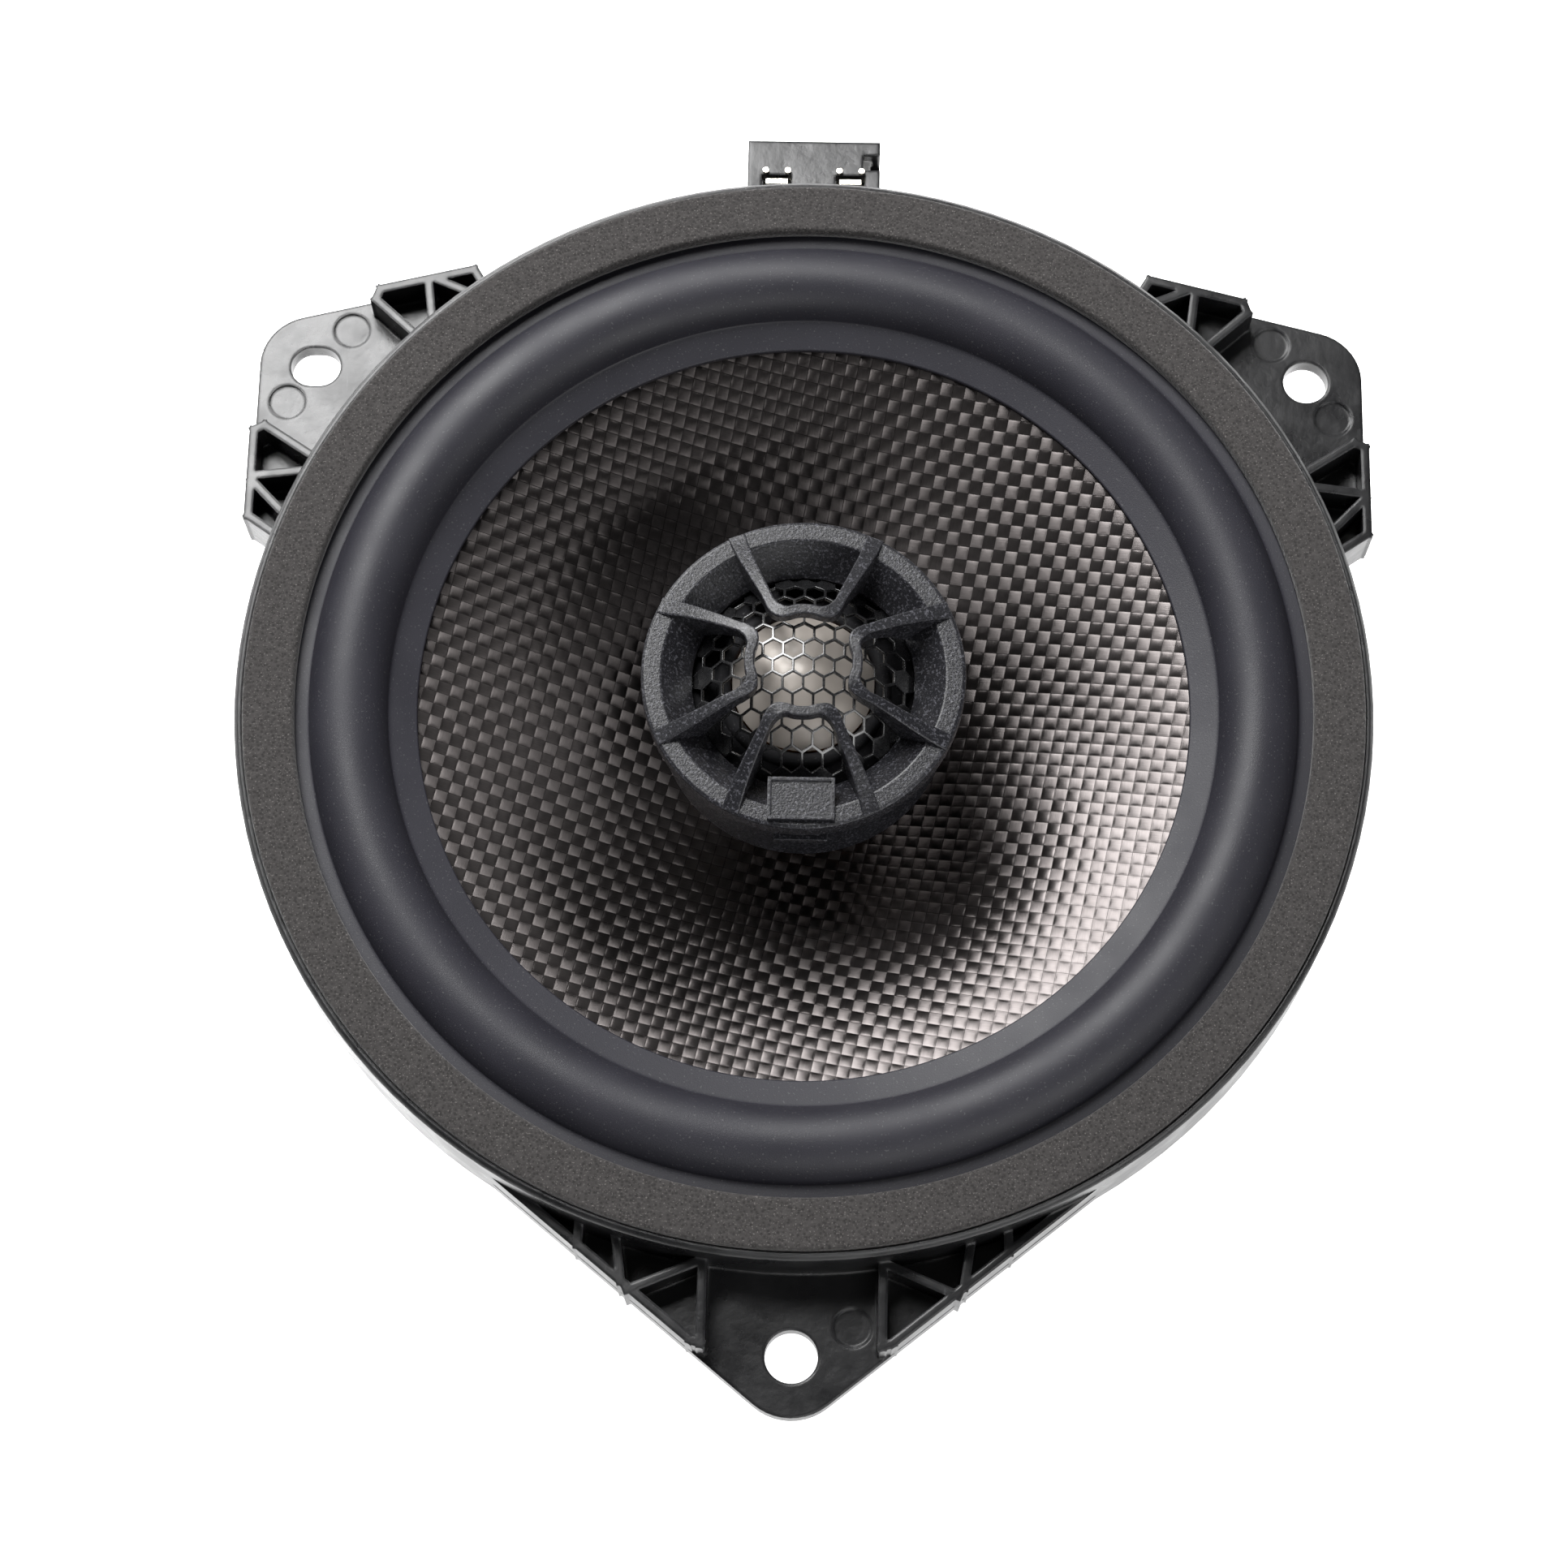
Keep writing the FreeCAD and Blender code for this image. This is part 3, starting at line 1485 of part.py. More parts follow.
def make_tweeter_leads():
    """Two wires from the tweeter down the post, out along the yoke's groove and up to the strip."""
    leads = []
    groove = SIZES["yoke_rear"] + SIZES["groove_depth"] / 2
    climb = SIZES["boot_radius"] - SIZES["boot_wall"] + 1.0
    top = SIZES["boot_front"] - 3.1
    for sign in (-1, 1):
        x = sign * SIZES["tweeter_lead_half_gap"]
        points = [
            Vector(x, 0, SIZES["tweeter_yoke_rear"] - SIZES["mesh_gap"]),
            Vector(x, 0, groove),
            Vector(x, climb, groove),
            Vector(x, climb, top),
        ]
        points += [Vector(x, y, z) for y, z in TWEETER_CLIMB]
        points.append(on_frame(SIZES["strip_radius"] - 1.6, 2.4, x * 3))
        leads.append(wire_solid(points, SIZES["tweeter_lead_bend"], SIZES["wire_radius"]))
    return shaped("tweeter_leads", Part.makeCompound(leads))


# ---------------------------------------------------------------- the whole speaker

NODES = [
    "basket", "front_gasket", "surround", "cone", "voice_coil_former", "voice_coil_winding", "spider",
    "top_plate", "magnet", "back_plate", "magnet_boot", "motor_screws",
    "tweeter_post", "tweeter_housing", "tweeter_bezel", "badge_plate", "tweeter_mesh", "tweeter_dome",
    "tweeter_surround", "tweeter_voice_coil", "tweeter_top_plate", "tweeter_magnet", "tweeter_yoke",
    "connector_housing", "terminal_blades", "terminal_strip", "solder_tags", "crossover_capacitor",
    "tinsel_leads", "feed_leads", "tweeter_leads",
]


def build():
    make_basket()
    make_front_gasket()
    make_surround()
    make_cone()
    make_voice_coil()
    make_spider()
    make_top_plate()
    make_magnet()
    make_back_plate()
    make_magnet_boot()
    make_motor_screws()
    make_tweeter_post()
    make_tweeter_housing()
    make_tweeter_bezel()
    make_badge_plate()
    make_tweeter_mesh()
    make_tweeter_dome()
    make_tweeter_surround()
    make_tweeter_motor()
    make_connector_housing()
    make_terminal_blades()
    make_terminal_strip()
    make_crossover_capacitor()
    make_tinsel_leads()
    make_feed_leads()
    make_tweeter_leads()
    DOC.recompute()


def check_document():
    """Stop if any object failed without saying so."""
    for item in DOC.Objects:
        for state in item.State:
            if state in ("Invalid", "Error"):
                raise RuntimeError(f"{item.Label} is {state}")


def export():
    """Write each node's shape to its own file."""
    os.makedirs("parts", exist_ok=True)
    for label in NODES:
        node = DOC.getObjectsByLabel(label)[0]
        shape = node.Shape
        if shape.isNull() or not shape.isValid():
            raise RuntimeError(f"{label} has no valid shape")
        shape.exportStep(os.path.join("parts", f"{label}.step"))
        print(f"{label}: {shape.Volume:.1f} mm3 in {len(shape.Solids)} solids")


build()
check_document()
export()
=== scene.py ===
"""Looks of the coaxial car speaker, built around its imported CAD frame. Metres, in the row frame."""

import math
import random

import bmesh
import bpy
import numpy as np
from mathutils import Matrix, Vector


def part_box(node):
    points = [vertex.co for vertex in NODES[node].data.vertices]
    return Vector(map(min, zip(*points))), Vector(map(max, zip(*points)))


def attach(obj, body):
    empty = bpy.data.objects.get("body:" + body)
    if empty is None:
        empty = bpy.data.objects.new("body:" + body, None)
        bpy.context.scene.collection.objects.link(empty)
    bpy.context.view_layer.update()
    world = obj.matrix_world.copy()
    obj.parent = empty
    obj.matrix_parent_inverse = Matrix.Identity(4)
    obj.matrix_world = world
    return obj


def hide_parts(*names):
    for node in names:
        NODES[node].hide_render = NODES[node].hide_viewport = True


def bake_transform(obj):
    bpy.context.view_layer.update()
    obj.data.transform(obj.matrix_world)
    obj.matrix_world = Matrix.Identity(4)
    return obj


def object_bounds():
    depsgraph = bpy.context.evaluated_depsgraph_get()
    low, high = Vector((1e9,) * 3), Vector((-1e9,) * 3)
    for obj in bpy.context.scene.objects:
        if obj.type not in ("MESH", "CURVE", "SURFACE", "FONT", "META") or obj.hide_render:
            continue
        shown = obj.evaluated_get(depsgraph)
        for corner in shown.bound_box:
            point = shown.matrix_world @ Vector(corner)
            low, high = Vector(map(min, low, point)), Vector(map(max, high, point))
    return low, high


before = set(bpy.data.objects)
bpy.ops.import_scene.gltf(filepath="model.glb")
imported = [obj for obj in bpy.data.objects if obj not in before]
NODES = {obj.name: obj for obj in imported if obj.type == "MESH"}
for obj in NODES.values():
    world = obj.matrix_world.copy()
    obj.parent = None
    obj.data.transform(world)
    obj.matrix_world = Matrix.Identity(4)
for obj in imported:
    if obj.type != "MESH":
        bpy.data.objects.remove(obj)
CAD_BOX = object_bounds()
MM = 0.001

# Radii, heights and thicknesses of the rebuilt pieces, in millimetres. What a CAD box can give is
# read from the frame, and the rest repeats the CAD parts.
GASKET_LOW, GASKET_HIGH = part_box("front_gasket")
SEAT = GASKET_LOW.z / MM
GASKET_FRONT = GASKET_HIGH.z / MM
GASKET_RADIUS = GASKET_HIGH.x / MM
GASKET_WIDTH, GASKET_EDGE, GASKET_UNEVEN = 7.5, 0.45, 0.05
FLANGE_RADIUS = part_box("surround")[1].x / MM
FLANGE_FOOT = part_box("surround")[0].z / MM
FLANGE_LINE = (76.5, 73.4)
ROLL_OUTER, ROLL_INNER = 71.8, 60.4
ROLL_FOOT, ROLL_PEAK = 11.2, 16.3
LIP_RADIUS, LIP_HEIGHT = 56.3, 9.6
RUBBER = 0.8
ROLL_STEPS = 40
CONE_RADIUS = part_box("cone")[1].x / MM
CONE_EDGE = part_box("cone")[1].z / MM
CONE_NECK = (13.3, -13.0)
CONE_BULGE = 1.2
CONE_WALL = 0.6
CONE_NECK_GAP, CONE_EDGE_GAP = 0.4, 0.05
TOW, TOW_CROWN, TOW_LAY = 1.83, 0.082, math.radians(-11.5)
SPIDER_INNER, SPIDER_OUTER, SPIDER_COLLAR = 15.15, 38.0, 2.0
SPIDER_LEVEL, SPIDER_DROP, SPIDER_WAVE, SPIDER_ROLLS, SPIDER_WALL = -17.2, 1.2, 1.1, 5, 0.45
TINSEL_RADIUS = 0.6
TINSEL_ROUTE = [(11.5, 63.3, -10.85), (13.2, 58.8, -16.0), (14.5, 52.0, -11.5), (12.0, 41.0, -9.0),
                (8.5, 29.0, -11.0), (6.5, 21.6, -10.4)]
BEZEL_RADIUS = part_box("tweeter_bezel")[1].x / MM
BEZEL_FACE, BEZEL_REAR = 22.9, 19.8
BEZEL_FLAT, BEZEL_THROAT = 20.3, 16.0
THROAT_HEIGHT, BEZEL_SEAT, CUP_BORE = 19.0, 18.0, 19.6
GUARD_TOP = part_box("tweeter_bezel")[1].z / MM
GUARD_FLAT = 5.0
GUARD_BAR_DEPTH, GUARD_LEAST_DEPTH, GUARD_EDGE = 2.0, 1.9, 0.2
GUARD_HALF_LINE = [(20.75, 10.0), (17.2, 8.7), (13.6, 7.1), (10.4, 5.6), (8.5, 4.7), (7.45, 3.7),
                   (7.25, 2.4), (7.6, 0.9)]
GUARD_LOOPS = 4
MESH_PITCH, MESH_WIRE, MESH_WALL = 2.9, 0.36, 0.35
MESH_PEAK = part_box("tweeter_mesh")[1].z / MM
MESH_OPENING = 15.7
DOME_ROLL_INNER, DOME_ROLL_OUTER, DOME_ROLL_RIM = 10.3, 12.6, 17.6
DOME_ROLL_FOOT, DOME_ROLL_PEAK, DOME_ROLL_SEAT, DOME_ROLL_WALL = 17.6, 18.7, 17.5, 0.2

# How many steps each kind of round piece is turned in, and the floor's reach in millimetres.
GASKET_TURNS, SURROUND_TURNS, CLOTH_TURNS, BEZEL_TURNS, SMALL_TURNS = 720, 360, 240, 256, 180
FLOOR_REACH = 12000.0

# The camera, in metres and degrees, with its lens and sensor in millimetres. Each light is a
# name, azimuth from +X towards +Y and elevation in degrees, width and height in metres, radiance.
LENS, SENSOR = 83.92, 36.0
CAMERA_SPOT, CAMERA_AIM = (0.00305, -0.1745, 0.5133), (-0.00253, -0.01391, 0.0145)
CAMERA_LEAN, CAMERA_ROLL = 1, 0.1412
LIGHT_DISTANCE = 0.9
LIGHTS = [
    ("key", 119, 47.5, 0.46, 0.72, 18.0),
    ("left_strip", 168, 40, 0.5, 0.5, 0.65),
    ("right_strip", 62, 30, 0.5, 0.34, 1.2),
    ("front_fill", -58, 34, 1.0, 0.5, 4.2),
]
WORLD_STRENGTH = 0.04


# ------------------------------------------------------------ shader building


def add(tree, kind, inputs=None, **settings):
    """A shader node with its settings, and its inputs as values or as sockets to link from."""
    made = tree.nodes.new("ShaderNode" + kind)
    for key, value in settings.items():
        setattr(made, key, value)
    for key, value in (inputs or {}).items():
        feed(tree, made.inputs[key], value)
    return made


def feed(tree, socket, value):
    """Link a socket to another socket, or set it to a value."""
    if isinstance(value, bpy.types.NodeSocket):
        tree.links.new(value, socket)
    else:
        socket.default_value = value


def calc(tree, operation, *terms):
    """The result of one Math node."""
    return add(tree, "Math", dict(enumerate(terms)), operation=operation).outputs[0]


def ramp(tree, value, low, high, out_low=0.0, out_high=1.0):
    """value carried from low..high to out_low..out_high, with a soft start and end."""
    terms = {"Value": value, "From Min": low, "From Max": high, "To Min": out_low,
             "To Max": out_high}
    return add(tree, "MapRange", terms, interpolation_type="SMOOTHSTEP").outputs["Result"]


def mix(tree, share, first, second):
    """A colour between two others."""
    made = add(tree, "Mix", data_type="RGBA")
    for number, value in ((0, share), (6, first), (7, second)):
        feed(tree, made.inputs[number], opaque(value))
    return made.outputs[2]


def opaque(value):
    """A colour with its alpha; anything else stays as it is."""
    return (*value, 1.0) if isinstance(value, tuple) and len(value) == 3 else value


def place(tree):
    """The point of the surface in the row frame, at rest."""
    return add(tree, "TexCoord").outputs["Object"]


def stretched(tree, x, y, z, at=None):
    """A point, or the surface's own, with each axis scaled, for patterns longer one way."""
    return add(tree, "Mapping", {"Vector": at or place(tree), "Scale": (x, y, z)}).outputs[0]


def noise(tree, grain, detail=2.0, at=None, rough=0.55):
    """Noise from 0 to 1 whose blobs are about grain metres wide."""
    terms = {"Vector": at or place(tree), "Scale": 1 / grain, "Detail": detail, "Roughness": rough}
    return add(tree, "TexNoise", terms).outputs["Fac"]


def cells(tree, width, at=None, feature="F1"):
    """Distance to the nearest of scattered points, about width metres apart."""
    terms = {"Vector": at or place(tree), "Scale": 1 / width}
    return add(tree, "TexVoronoi", terms, feature=feature).outputs["Distance"]


def new_tree(name):
    """The empty node tree of a new material."""
    material = bpy.data.materials.new(name)
    material.use_nodes = True
    material.node_tree.nodes.clear()
    return material.node_tree


def worn_and_highlit_edges(tree, radius):
    """1 on outside edges and corners, 0 on flat faces."""
    soft = add(tree, "Bevel", {"Radius": radius}, samples=6).outputs[0]
    sharp = add(tree, "NewGeometry").outputs["Normal"]
    same = add(tree, "VectorMath", {0: soft, 1: sharp}, operation="DOT_PRODUCT").outputs["Value"]
    return ramp(tree, same, 0.999, 0.90)


def shade(tree, colour, roughness, bumps=(), bevel=0.0, **constants):
    """The tree's material, with colour, roughness and bumps, each (height, metres), joined in."""
    inputs = {"Base Color": opaque(colour), "Roughness": roughness}
    normal = None
    if bevel:
        normal = add(tree, "Bevel", {"Radius": bevel}, samples=6).outputs[0]
    for height, depth in bumps:
        terms = {"Height": height, "Distance": depth, "Strength": 1.0}
        if normal is not None:
            terms["Normal"] = normal
        normal = add(tree, "Bump", terms).outputs[0]
    if normal is not None:
        inputs["Normal"] = normal
    inputs.update({key.replace("_", " "): value for key, value in constants.items()})
    surface = add(tree, "BsdfPrincipled", inputs)
    add(tree, "OutputMaterial", {"Surface": surface.outputs[0]})
    return next(material for material in bpy.data.materials if material.node_tree == tree)


# ------------------------------------------------------------ materials


def moulded_plastic():
    """Glass-filled black plastic: satin, mottled where it cooled, paler along rubbed edges."""
    tree = new_tree("moulded_plastic")
    cloud = noise(tree, 0.006, 3.0)
    grain = noise(tree, 0.00035, 2.0)
    scratches = noise(tree, 0.0012, 4.0, stretched(tree, 1.0, 0.12, 1.0), 0.7)
    scratched = ramp(tree, scratches, 0.66, 0.78)
    scuffed = calc(tree, "MULTIPLY", scratched, ramp(tree, cloud, 0.5, 0.62))
    patchy = ramp(tree, noise(tree, 0.002), 0.3, 0.7)
    rubbed_and_highlit = calc(tree, "MULTIPLY", worn_and_highlit_edges(tree, 0.0003), patchy)
    colour = mix(tree, cloud, (0.0045, 0.0045, 0.005), (0.009, 0.009, 0.0098))
    colour = mix(tree, calc(tree, "MULTIPLY", rubbed_and_highlit, 0.6), colour, (0.05, 0.05, 0.054))
    colour = mix(tree, calc(tree, "MULTIPLY", scuffed, 0.5), colour, (0.07, 0.07, 0.075))
    roughness = ramp(tree, cloud, 0.25, 0.75, 0.25, 0.36)
    return shade(tree, colour, roughness, [(cloud, 0.00014), (grain, 0.000012)], bevel=0.0007,
                 IOR=1.5)


def foam():
    """Closed-cell foam: matt, warm dark grey, with a fine open skin and pale specks."""
    tree = new_tree("foam")
    pores = cells(tree, 0.00055)
    fine = noise(tree, 0.0005, 3.0)
    patch = noise(tree, 0.0016, 3.0)
    speck = ramp(tree, noise(tree, 0.00025, 1.0, rough=0.3), 0.62, 0.75)
    colour = mix(tree, patch, (0.022, 0.0202, 0.0198), (0.05, 0.0465, 0.0455))
    colour = mix(tree, ramp(tree, pores, 0.15, 0.6), (0.02, 0.0185, 0.018), colour)
    colour = mix(tree, calc(tree, "MULTIPLY", speck, 0.55), colour, (0.15, 0.14, 0.135))
    return shade(tree, colour, 0.95, [(pores, 0.00012), (fine, 0.00008)], Sheen_Weight=0.15,
                 Specular_IOR_Level=0.25)


def rubber(name, roughness_low, roughness_high, tone):
    """Moulded rubber with a fine matt grain and a little dust."""
    tree = new_tree(name)
    grain = noise(tree, 0.00022, 2.0)
    cloud = noise(tree, 0.012, 3.0)
    dust = ramp(tree, noise(tree, 0.0003, 0.0), 0.72, 0.8)
    dark = tuple(tone * part for part in (0.9, 0.88, 1.15))
    light = tuple(tone * part for part in (1.15, 1.12, 1.5))
    colour = mix(tree, cloud, dark, light)
    colour = mix(tree, calc(tree, "MULTIPLY", dust, 0.25), colour, (0.12, 0.12, 0.12))
    roughness = ramp(tree, cloud, 0.3, 0.7, roughness_low, roughness_high)
    return shade(tree, colour, roughness, [(grain, 0.00002)], Specular_IOR_Level=0.3)


def woven_cloth():
    """Plain weave of flat tows in resin, measured in tows. Each tow shines across its fibres."""
    tree = new_tree("woven_cloth")
    tows = stretched(tree, *(1 / (TOW * MM),) * 3)
    turned = add(tree, "VectorRotate", {"Vector": tows, "Angle": -TOW_LAY},
                 rotation_type="Z_AXIS").outputs[0]
    x, y, _ = add(tree, "SeparateXYZ", {0: turned}).outputs[:]
    column, row = calc(tree, "FLOOR", x), calc(tree, "FLOOR", y)
    warp = calc(tree, "FLOORED_MODULO", calc(tree, "ADD", column, row), 2.0)
    weft = calc(tree, "SUBTRACT", 1.0, warp)
    to_side = calc(tree, "PINGPONG", calc(tree, "FRACT", x), 0.5)
    to_end = calc(tree, "PINGPONG", calc(tree, "FRACT", y), 0.5)
    border = calc(tree, "MINIMUM", to_side, to_end)
    cell = add(tree, "CombineXYZ", {0: column, 1: row}).outputs[0]
    chance = add(tree, "TexWhiteNoise", {"Vector": cell}, noise_dimensions="2D").outputs["Value"]
    grid_x = calc(tree, "MULTIPLY", warp, math.cos(TOW_LAY))
    grid_y = calc(tree, "MULTIPLY", warp, math.sin(TOW_LAY))
    across_x = calc(tree, "MULTIPLY_ADD", weft, -math.sin(TOW_LAY), grid_x)
    across_y = calc(tree, "MULTIPLY_ADD", weft, math.cos(TOW_LAY), grid_y)
    across = add(tree, "CombineXYZ", {0: across_x, 1: across_y}).outputs[0]
    along_weft = noise(tree, 0.3, 2.0, stretched(tree, 0.25, 4.0, 0.25, at=turned))
    along_warp = noise(tree, 0.3, 2.0, stretched(tree, 4.0, 0.25, 0.25, at=turned))
    fibres = add(tree, "Mix", data_type="FLOAT")
    for number, value in ((0, warp), (2, along_weft), (3, along_warp)):
        feed(tree, fibres.inputs[number], value)
    streak = fibres.outputs[0]
    colour = mix(tree, streak, (0.078, 0.071, 0.0695), (0.114, 0.1035, 0.1015))
    colour = mix(tree, calc(tree, "MULTIPLY", chance, 0.3), colour, (0.062, 0.0555, 0.054))
    colour = mix(tree, ramp(tree, border, 0.0, 0.04), (0.022, 0.0198, 0.0195), colour)
    return shade(tree, colour, 0.34, [(streak, 0.000012)], Metallic=1.0, Anisotropic=0.9,
                 Tangent=across)


def grained_plastic():
    """Tweeter plastic: a leather-fine grain with pale specks painted on as glints, paler on rubbed
    edges.
    """
    tree = new_tree("grained_plastic")
    grain = noise(tree, 0.00022, 2.0, rough=0.7)
    pits = cells(tree, 0.0004)
    cloud = noise(tree, 0.005, 2.0)
    colour = mix(tree, cloud, (0.0085, 0.0085, 0.0102), (0.0135, 0.0136, 0.016))
    # Pale specks: painted glints, standing in for the sparkle of light off the grain.
    speck = ramp(tree, noise(tree, 0.00045, 3.0, rough=0.75), 0.54, 0.62)
    colour = mix(tree, calc(tree, "MULTIPLY", speck, 0.6), colour, (0.1, 0.1, 0.114))
    colour = mix(tree, calc(tree, "MULTIPLY", worn_and_highlit_edges(tree, 0.00018), 0.55), colour,
                 (0.09, 0.09, 0.1))
    roughness = ramp(tree, grain, 0.3, 0.7, 0.24, 0.38)
    return shade(tree, colour, roughness, [(grain, 0.00003), (pits, 0.00002)], bevel=0.00025,
                 Specular_IOR_Level=0.3)


def painted_wire():
    """Gloss black paint on the pierced steel mesh, with a painted highlight along the wire edges."""
    tree = new_tree("painted_wire")
    orange_peel = noise(tree, 0.0004, 2.0)
    colour = mix(tree, orange_peel, (0.004, 0.004, 0.0045), (0.009, 0.009, 0.0095))
    # Pale wire edges: a painted highlight, lighter colour where the mesh wires' edges catch the
    # lamps.
    rubbed_and_highlit = calc(tree, "MULTIPLY", worn_and_highlit_edges(tree, 0.00008), 0.8)
    colour = mix(tree, rubbed_and_highlit, colour, (0.28, 0.28, 0.29))
    roughness = ramp(tree, orange_peel, 0.3, 0.7, 0.24, 0.34)
    return shade(tree, colour, roughness, [(orange_peel, 0.000008)], Coat_Weight=0.7,
                 Coat_Roughness=0.2, IOR=1.6)


def pearl_metal():
    """The dome's thin metal, champagne with a soft pearl bloom."""
    tree = new_tree("pearl_metal")
    bloom = noise(tree, 0.005, 1.0)
    spun = noise(tree, 0.0006, 2.0)
    colour = mix(tree, bloom, (0.25, 0.225, 0.2), (0.34, 0.308, 0.28))
    roughness = ramp(tree, bloom, 0.35, 0.65, 0.46, 0.56)
    return shade(tree, colour, roughness, [(spun, 0.00001)], Metallic=0.3, Coat_Weight=0.2,
                 Coat_Roughness=0.16)


def bare_metal(name, dark, light, roughness, streaks=(1.0, 1.0, 1.0)):
    """Plated or turned metal with a lay of fine tool marks."""
    tree = new_tree(name)
    marks = noise(tree, 0.0005, 3.0, stretched(tree, *streaks), 0.65)
    cloud = noise(tree, 0.006, 3.0)
    colour = mix(tree, cloud, dark, light)
    rubbed_and_highlit = calc(tree, "MULTIPLY", worn_and_highlit_edges(tree, 0.0002), 0.5)
    colour = mix(tree, rubbed_and_highlit, colour, tuple(min(1.0, part * 1.3) for part in light))
    roughness = ramp(tree, marks, 0.3, 0.7, roughness * 0.8, roughness * 1.25)
    return shade(tree, colour, roughness, [(marks, 0.00001)], bevel=0.00015, Metallic=1.0)


def ferrite():
    """Ground ceramic magnet: grey-black with faint pits and chipped, paler edges."""
    tree = new_tree("ferrite")
    pits = noise(tree, 0.0004, 4.0)
    cloud = noise(tree, 0.008, 3.0)
    colour = mix(tree, cloud, (0.035, 0.035, 0.038), (0.06, 0.06, 0.064))
    colour = mix(tree, worn_and_highlit_edges(tree, 0.0003), colour, (0.11, 0.11, 0.115))
    roughness = ramp(tree, pits, 0.3, 0.7, 0.5, 0.7)
    return shade(tree, colour, roughness, [(pits, 0.00005)], bevel=0.0003)


def wound_copper():
    """Enamelled copper turns, one above the other."""
    tree = new_tree("wound_copper")
    wire = 0.00028
    z = add(tree, "SeparateXYZ", {0: place(tree)}).outputs[2]
    turns = calc(tree, "ABSOLUTE", calc(tree, "SINE", calc(tree, "MULTIPLY", z, math.pi / wire)))
    cloud = noise(tree, 0.003, 2.0)
    colour = mix(tree, cloud, (0.55, 0.22, 0.08), (0.72, 0.33, 0.14))
    colour = mix(tree, ramp(tree, turns, 0.0, 0.5), (0.16, 0.05, 0.015), colour)
    return shade(tree, colour, 0.28, [(turns, 0.00006)], Metallic=0.9, Coat_Weight=0.4,
                 Coat_Roughness=0.15)


def former_film():
    """Amber film of the coil former."""
    tree = new_tree("former_film")
    cloud = noise(tree, 0.004, 2.0)
    colour = mix(tree, cloud, (0.30, 0.12, 0.02), (0.44, 0.19, 0.04))
    roughness = ramp(tree, cloud, 0.3, 0.7, 0.18, 0.3)
    return shade(tree, colour, roughness, [(cloud, 0.00003)], Coat_Weight=0.3)


def stiff_cloth():
    """The spider's resin-stiffened cotton, with its open square weave."""
    tree = new_tree("stiff_cloth")
    pitch = 0.0006
    x, y, _ = add(tree, "SeparateXYZ", {0: stretched(tree, *(1 / pitch,) * 3)}).outputs[:]
    over = calc(tree, "PINGPONG", calc(tree, "FRACT", x), 0.5)
    under = calc(tree, "PINGPONG", calc(tree, "FRACT", y), 0.5)
    thread = calc(tree, "MAXIMUM", over, under)
    cloud = noise(tree, 0.006, 3.0)
    colour = mix(tree, cloud, (0.30, 0.19, 0.07), (0.42, 0.28, 0.12))
    colour = mix(tree, ramp(tree, thread, 0.05, 0.4), (0.09, 0.05, 0.02), colour)
    return shade(tree, colour, 0.85, [(thread, 0.00016)], Sheen_Weight=0.2)


def fibre_board():
    """Brown phenolic paper board."""
    tree = new_tree("fibre_board")
    fibre = noise(tree, 0.0008, 4.0, stretched(tree, 0.3, 1.0, 1.0))
    colour = mix(tree, fibre, (0.10, 0.045, 0.02), (0.19, 0.09, 0.04))
    return shade(tree, colour, 0.55, [(fibre, 0.00003)], bevel=0.0002)


def shrink_sleeve():
    """The capacitor's dark blue sleeve."""
    tree = new_tree("shrink_sleeve")
    ripple = noise(tree, 0.003, 2.0, stretched(tree, 0.3, 1.0, 1.0))
    colour = mix(tree, ripple, (0.008, 0.018, 0.06), (0.014, 0.03, 0.09))
    roughness = ramp(tree, ripple, 0.3, 0.7, 0.2, 0.32)
    return shade(tree, colour, roughness, [(ripple, 0.00008)], Coat_Weight=0.3)


def tinsel_braid():
    """Braided tinsel over cotton: two crossing lays of fine metal strands."""
    tree = new_tree("tinsel_braid")
    terms = {"Vector": place(tree), "Scale": 900.0, "Distortion": 1.5}
    lay = add(tree, "TexWave", terms, bands_direction="DIAGONAL").outputs["Fac"]
    grain = noise(tree, 0.0003, 2.0)
    colour = mix(tree, lay, (0.22, 0.17, 0.12), (0.62, 0.54, 0.43))
    roughness = ramp(tree, grain, 0.3, 0.7, 0.3, 0.5)
    return shade(tree, colour, roughness, [(lay, 0.00012)], Metallic=0.8)


def insulation():
    """Extruded black wire insulation."""
    tree = new_tree("insulation")
    wobble = noise(tree, 0.002, 3.0)
    colour = mix(tree, wobble, (0.014, 0.014, 0.015), (0.028, 0.028, 0.03))
    roughness = ramp(tree, wobble, 0.3, 0.7, 0.32, 0.45)
    return shade(tree, colour, roughness, [(wobble, 0.00008)])


def floor_paint():
    """Plain white studio floor."""
    tree = new_tree("floor_paint")
    colour = mix(tree, noise(tree, 0.02), (0.86, 0.86, 0.86), (0.88, 0.88, 0.88))
    return shade(tree, colour, 0.9,
                 Emission_Color=(1.0, 1.0, 1.0, 1.0), Emission_Strength=1.0)


# ------------------------------------------------------------ mesh building


def mesh_object(name, points, faces, material, smooth=True):
    """A mesh object from points in millimetres."""
    mesh = bpy.data.meshes.new(name)
    mesh.from_pydata([tuple(part * MM for part in point) for point in points], [], faces)
    mesh.materials.append(material)
    mesh.update()
    if smooth:
        mesh.shade_smooth()
    made = bpy.data.objects.new(name, mesh)
    bpy.context.scene.collection.objects.link(made)
    return made


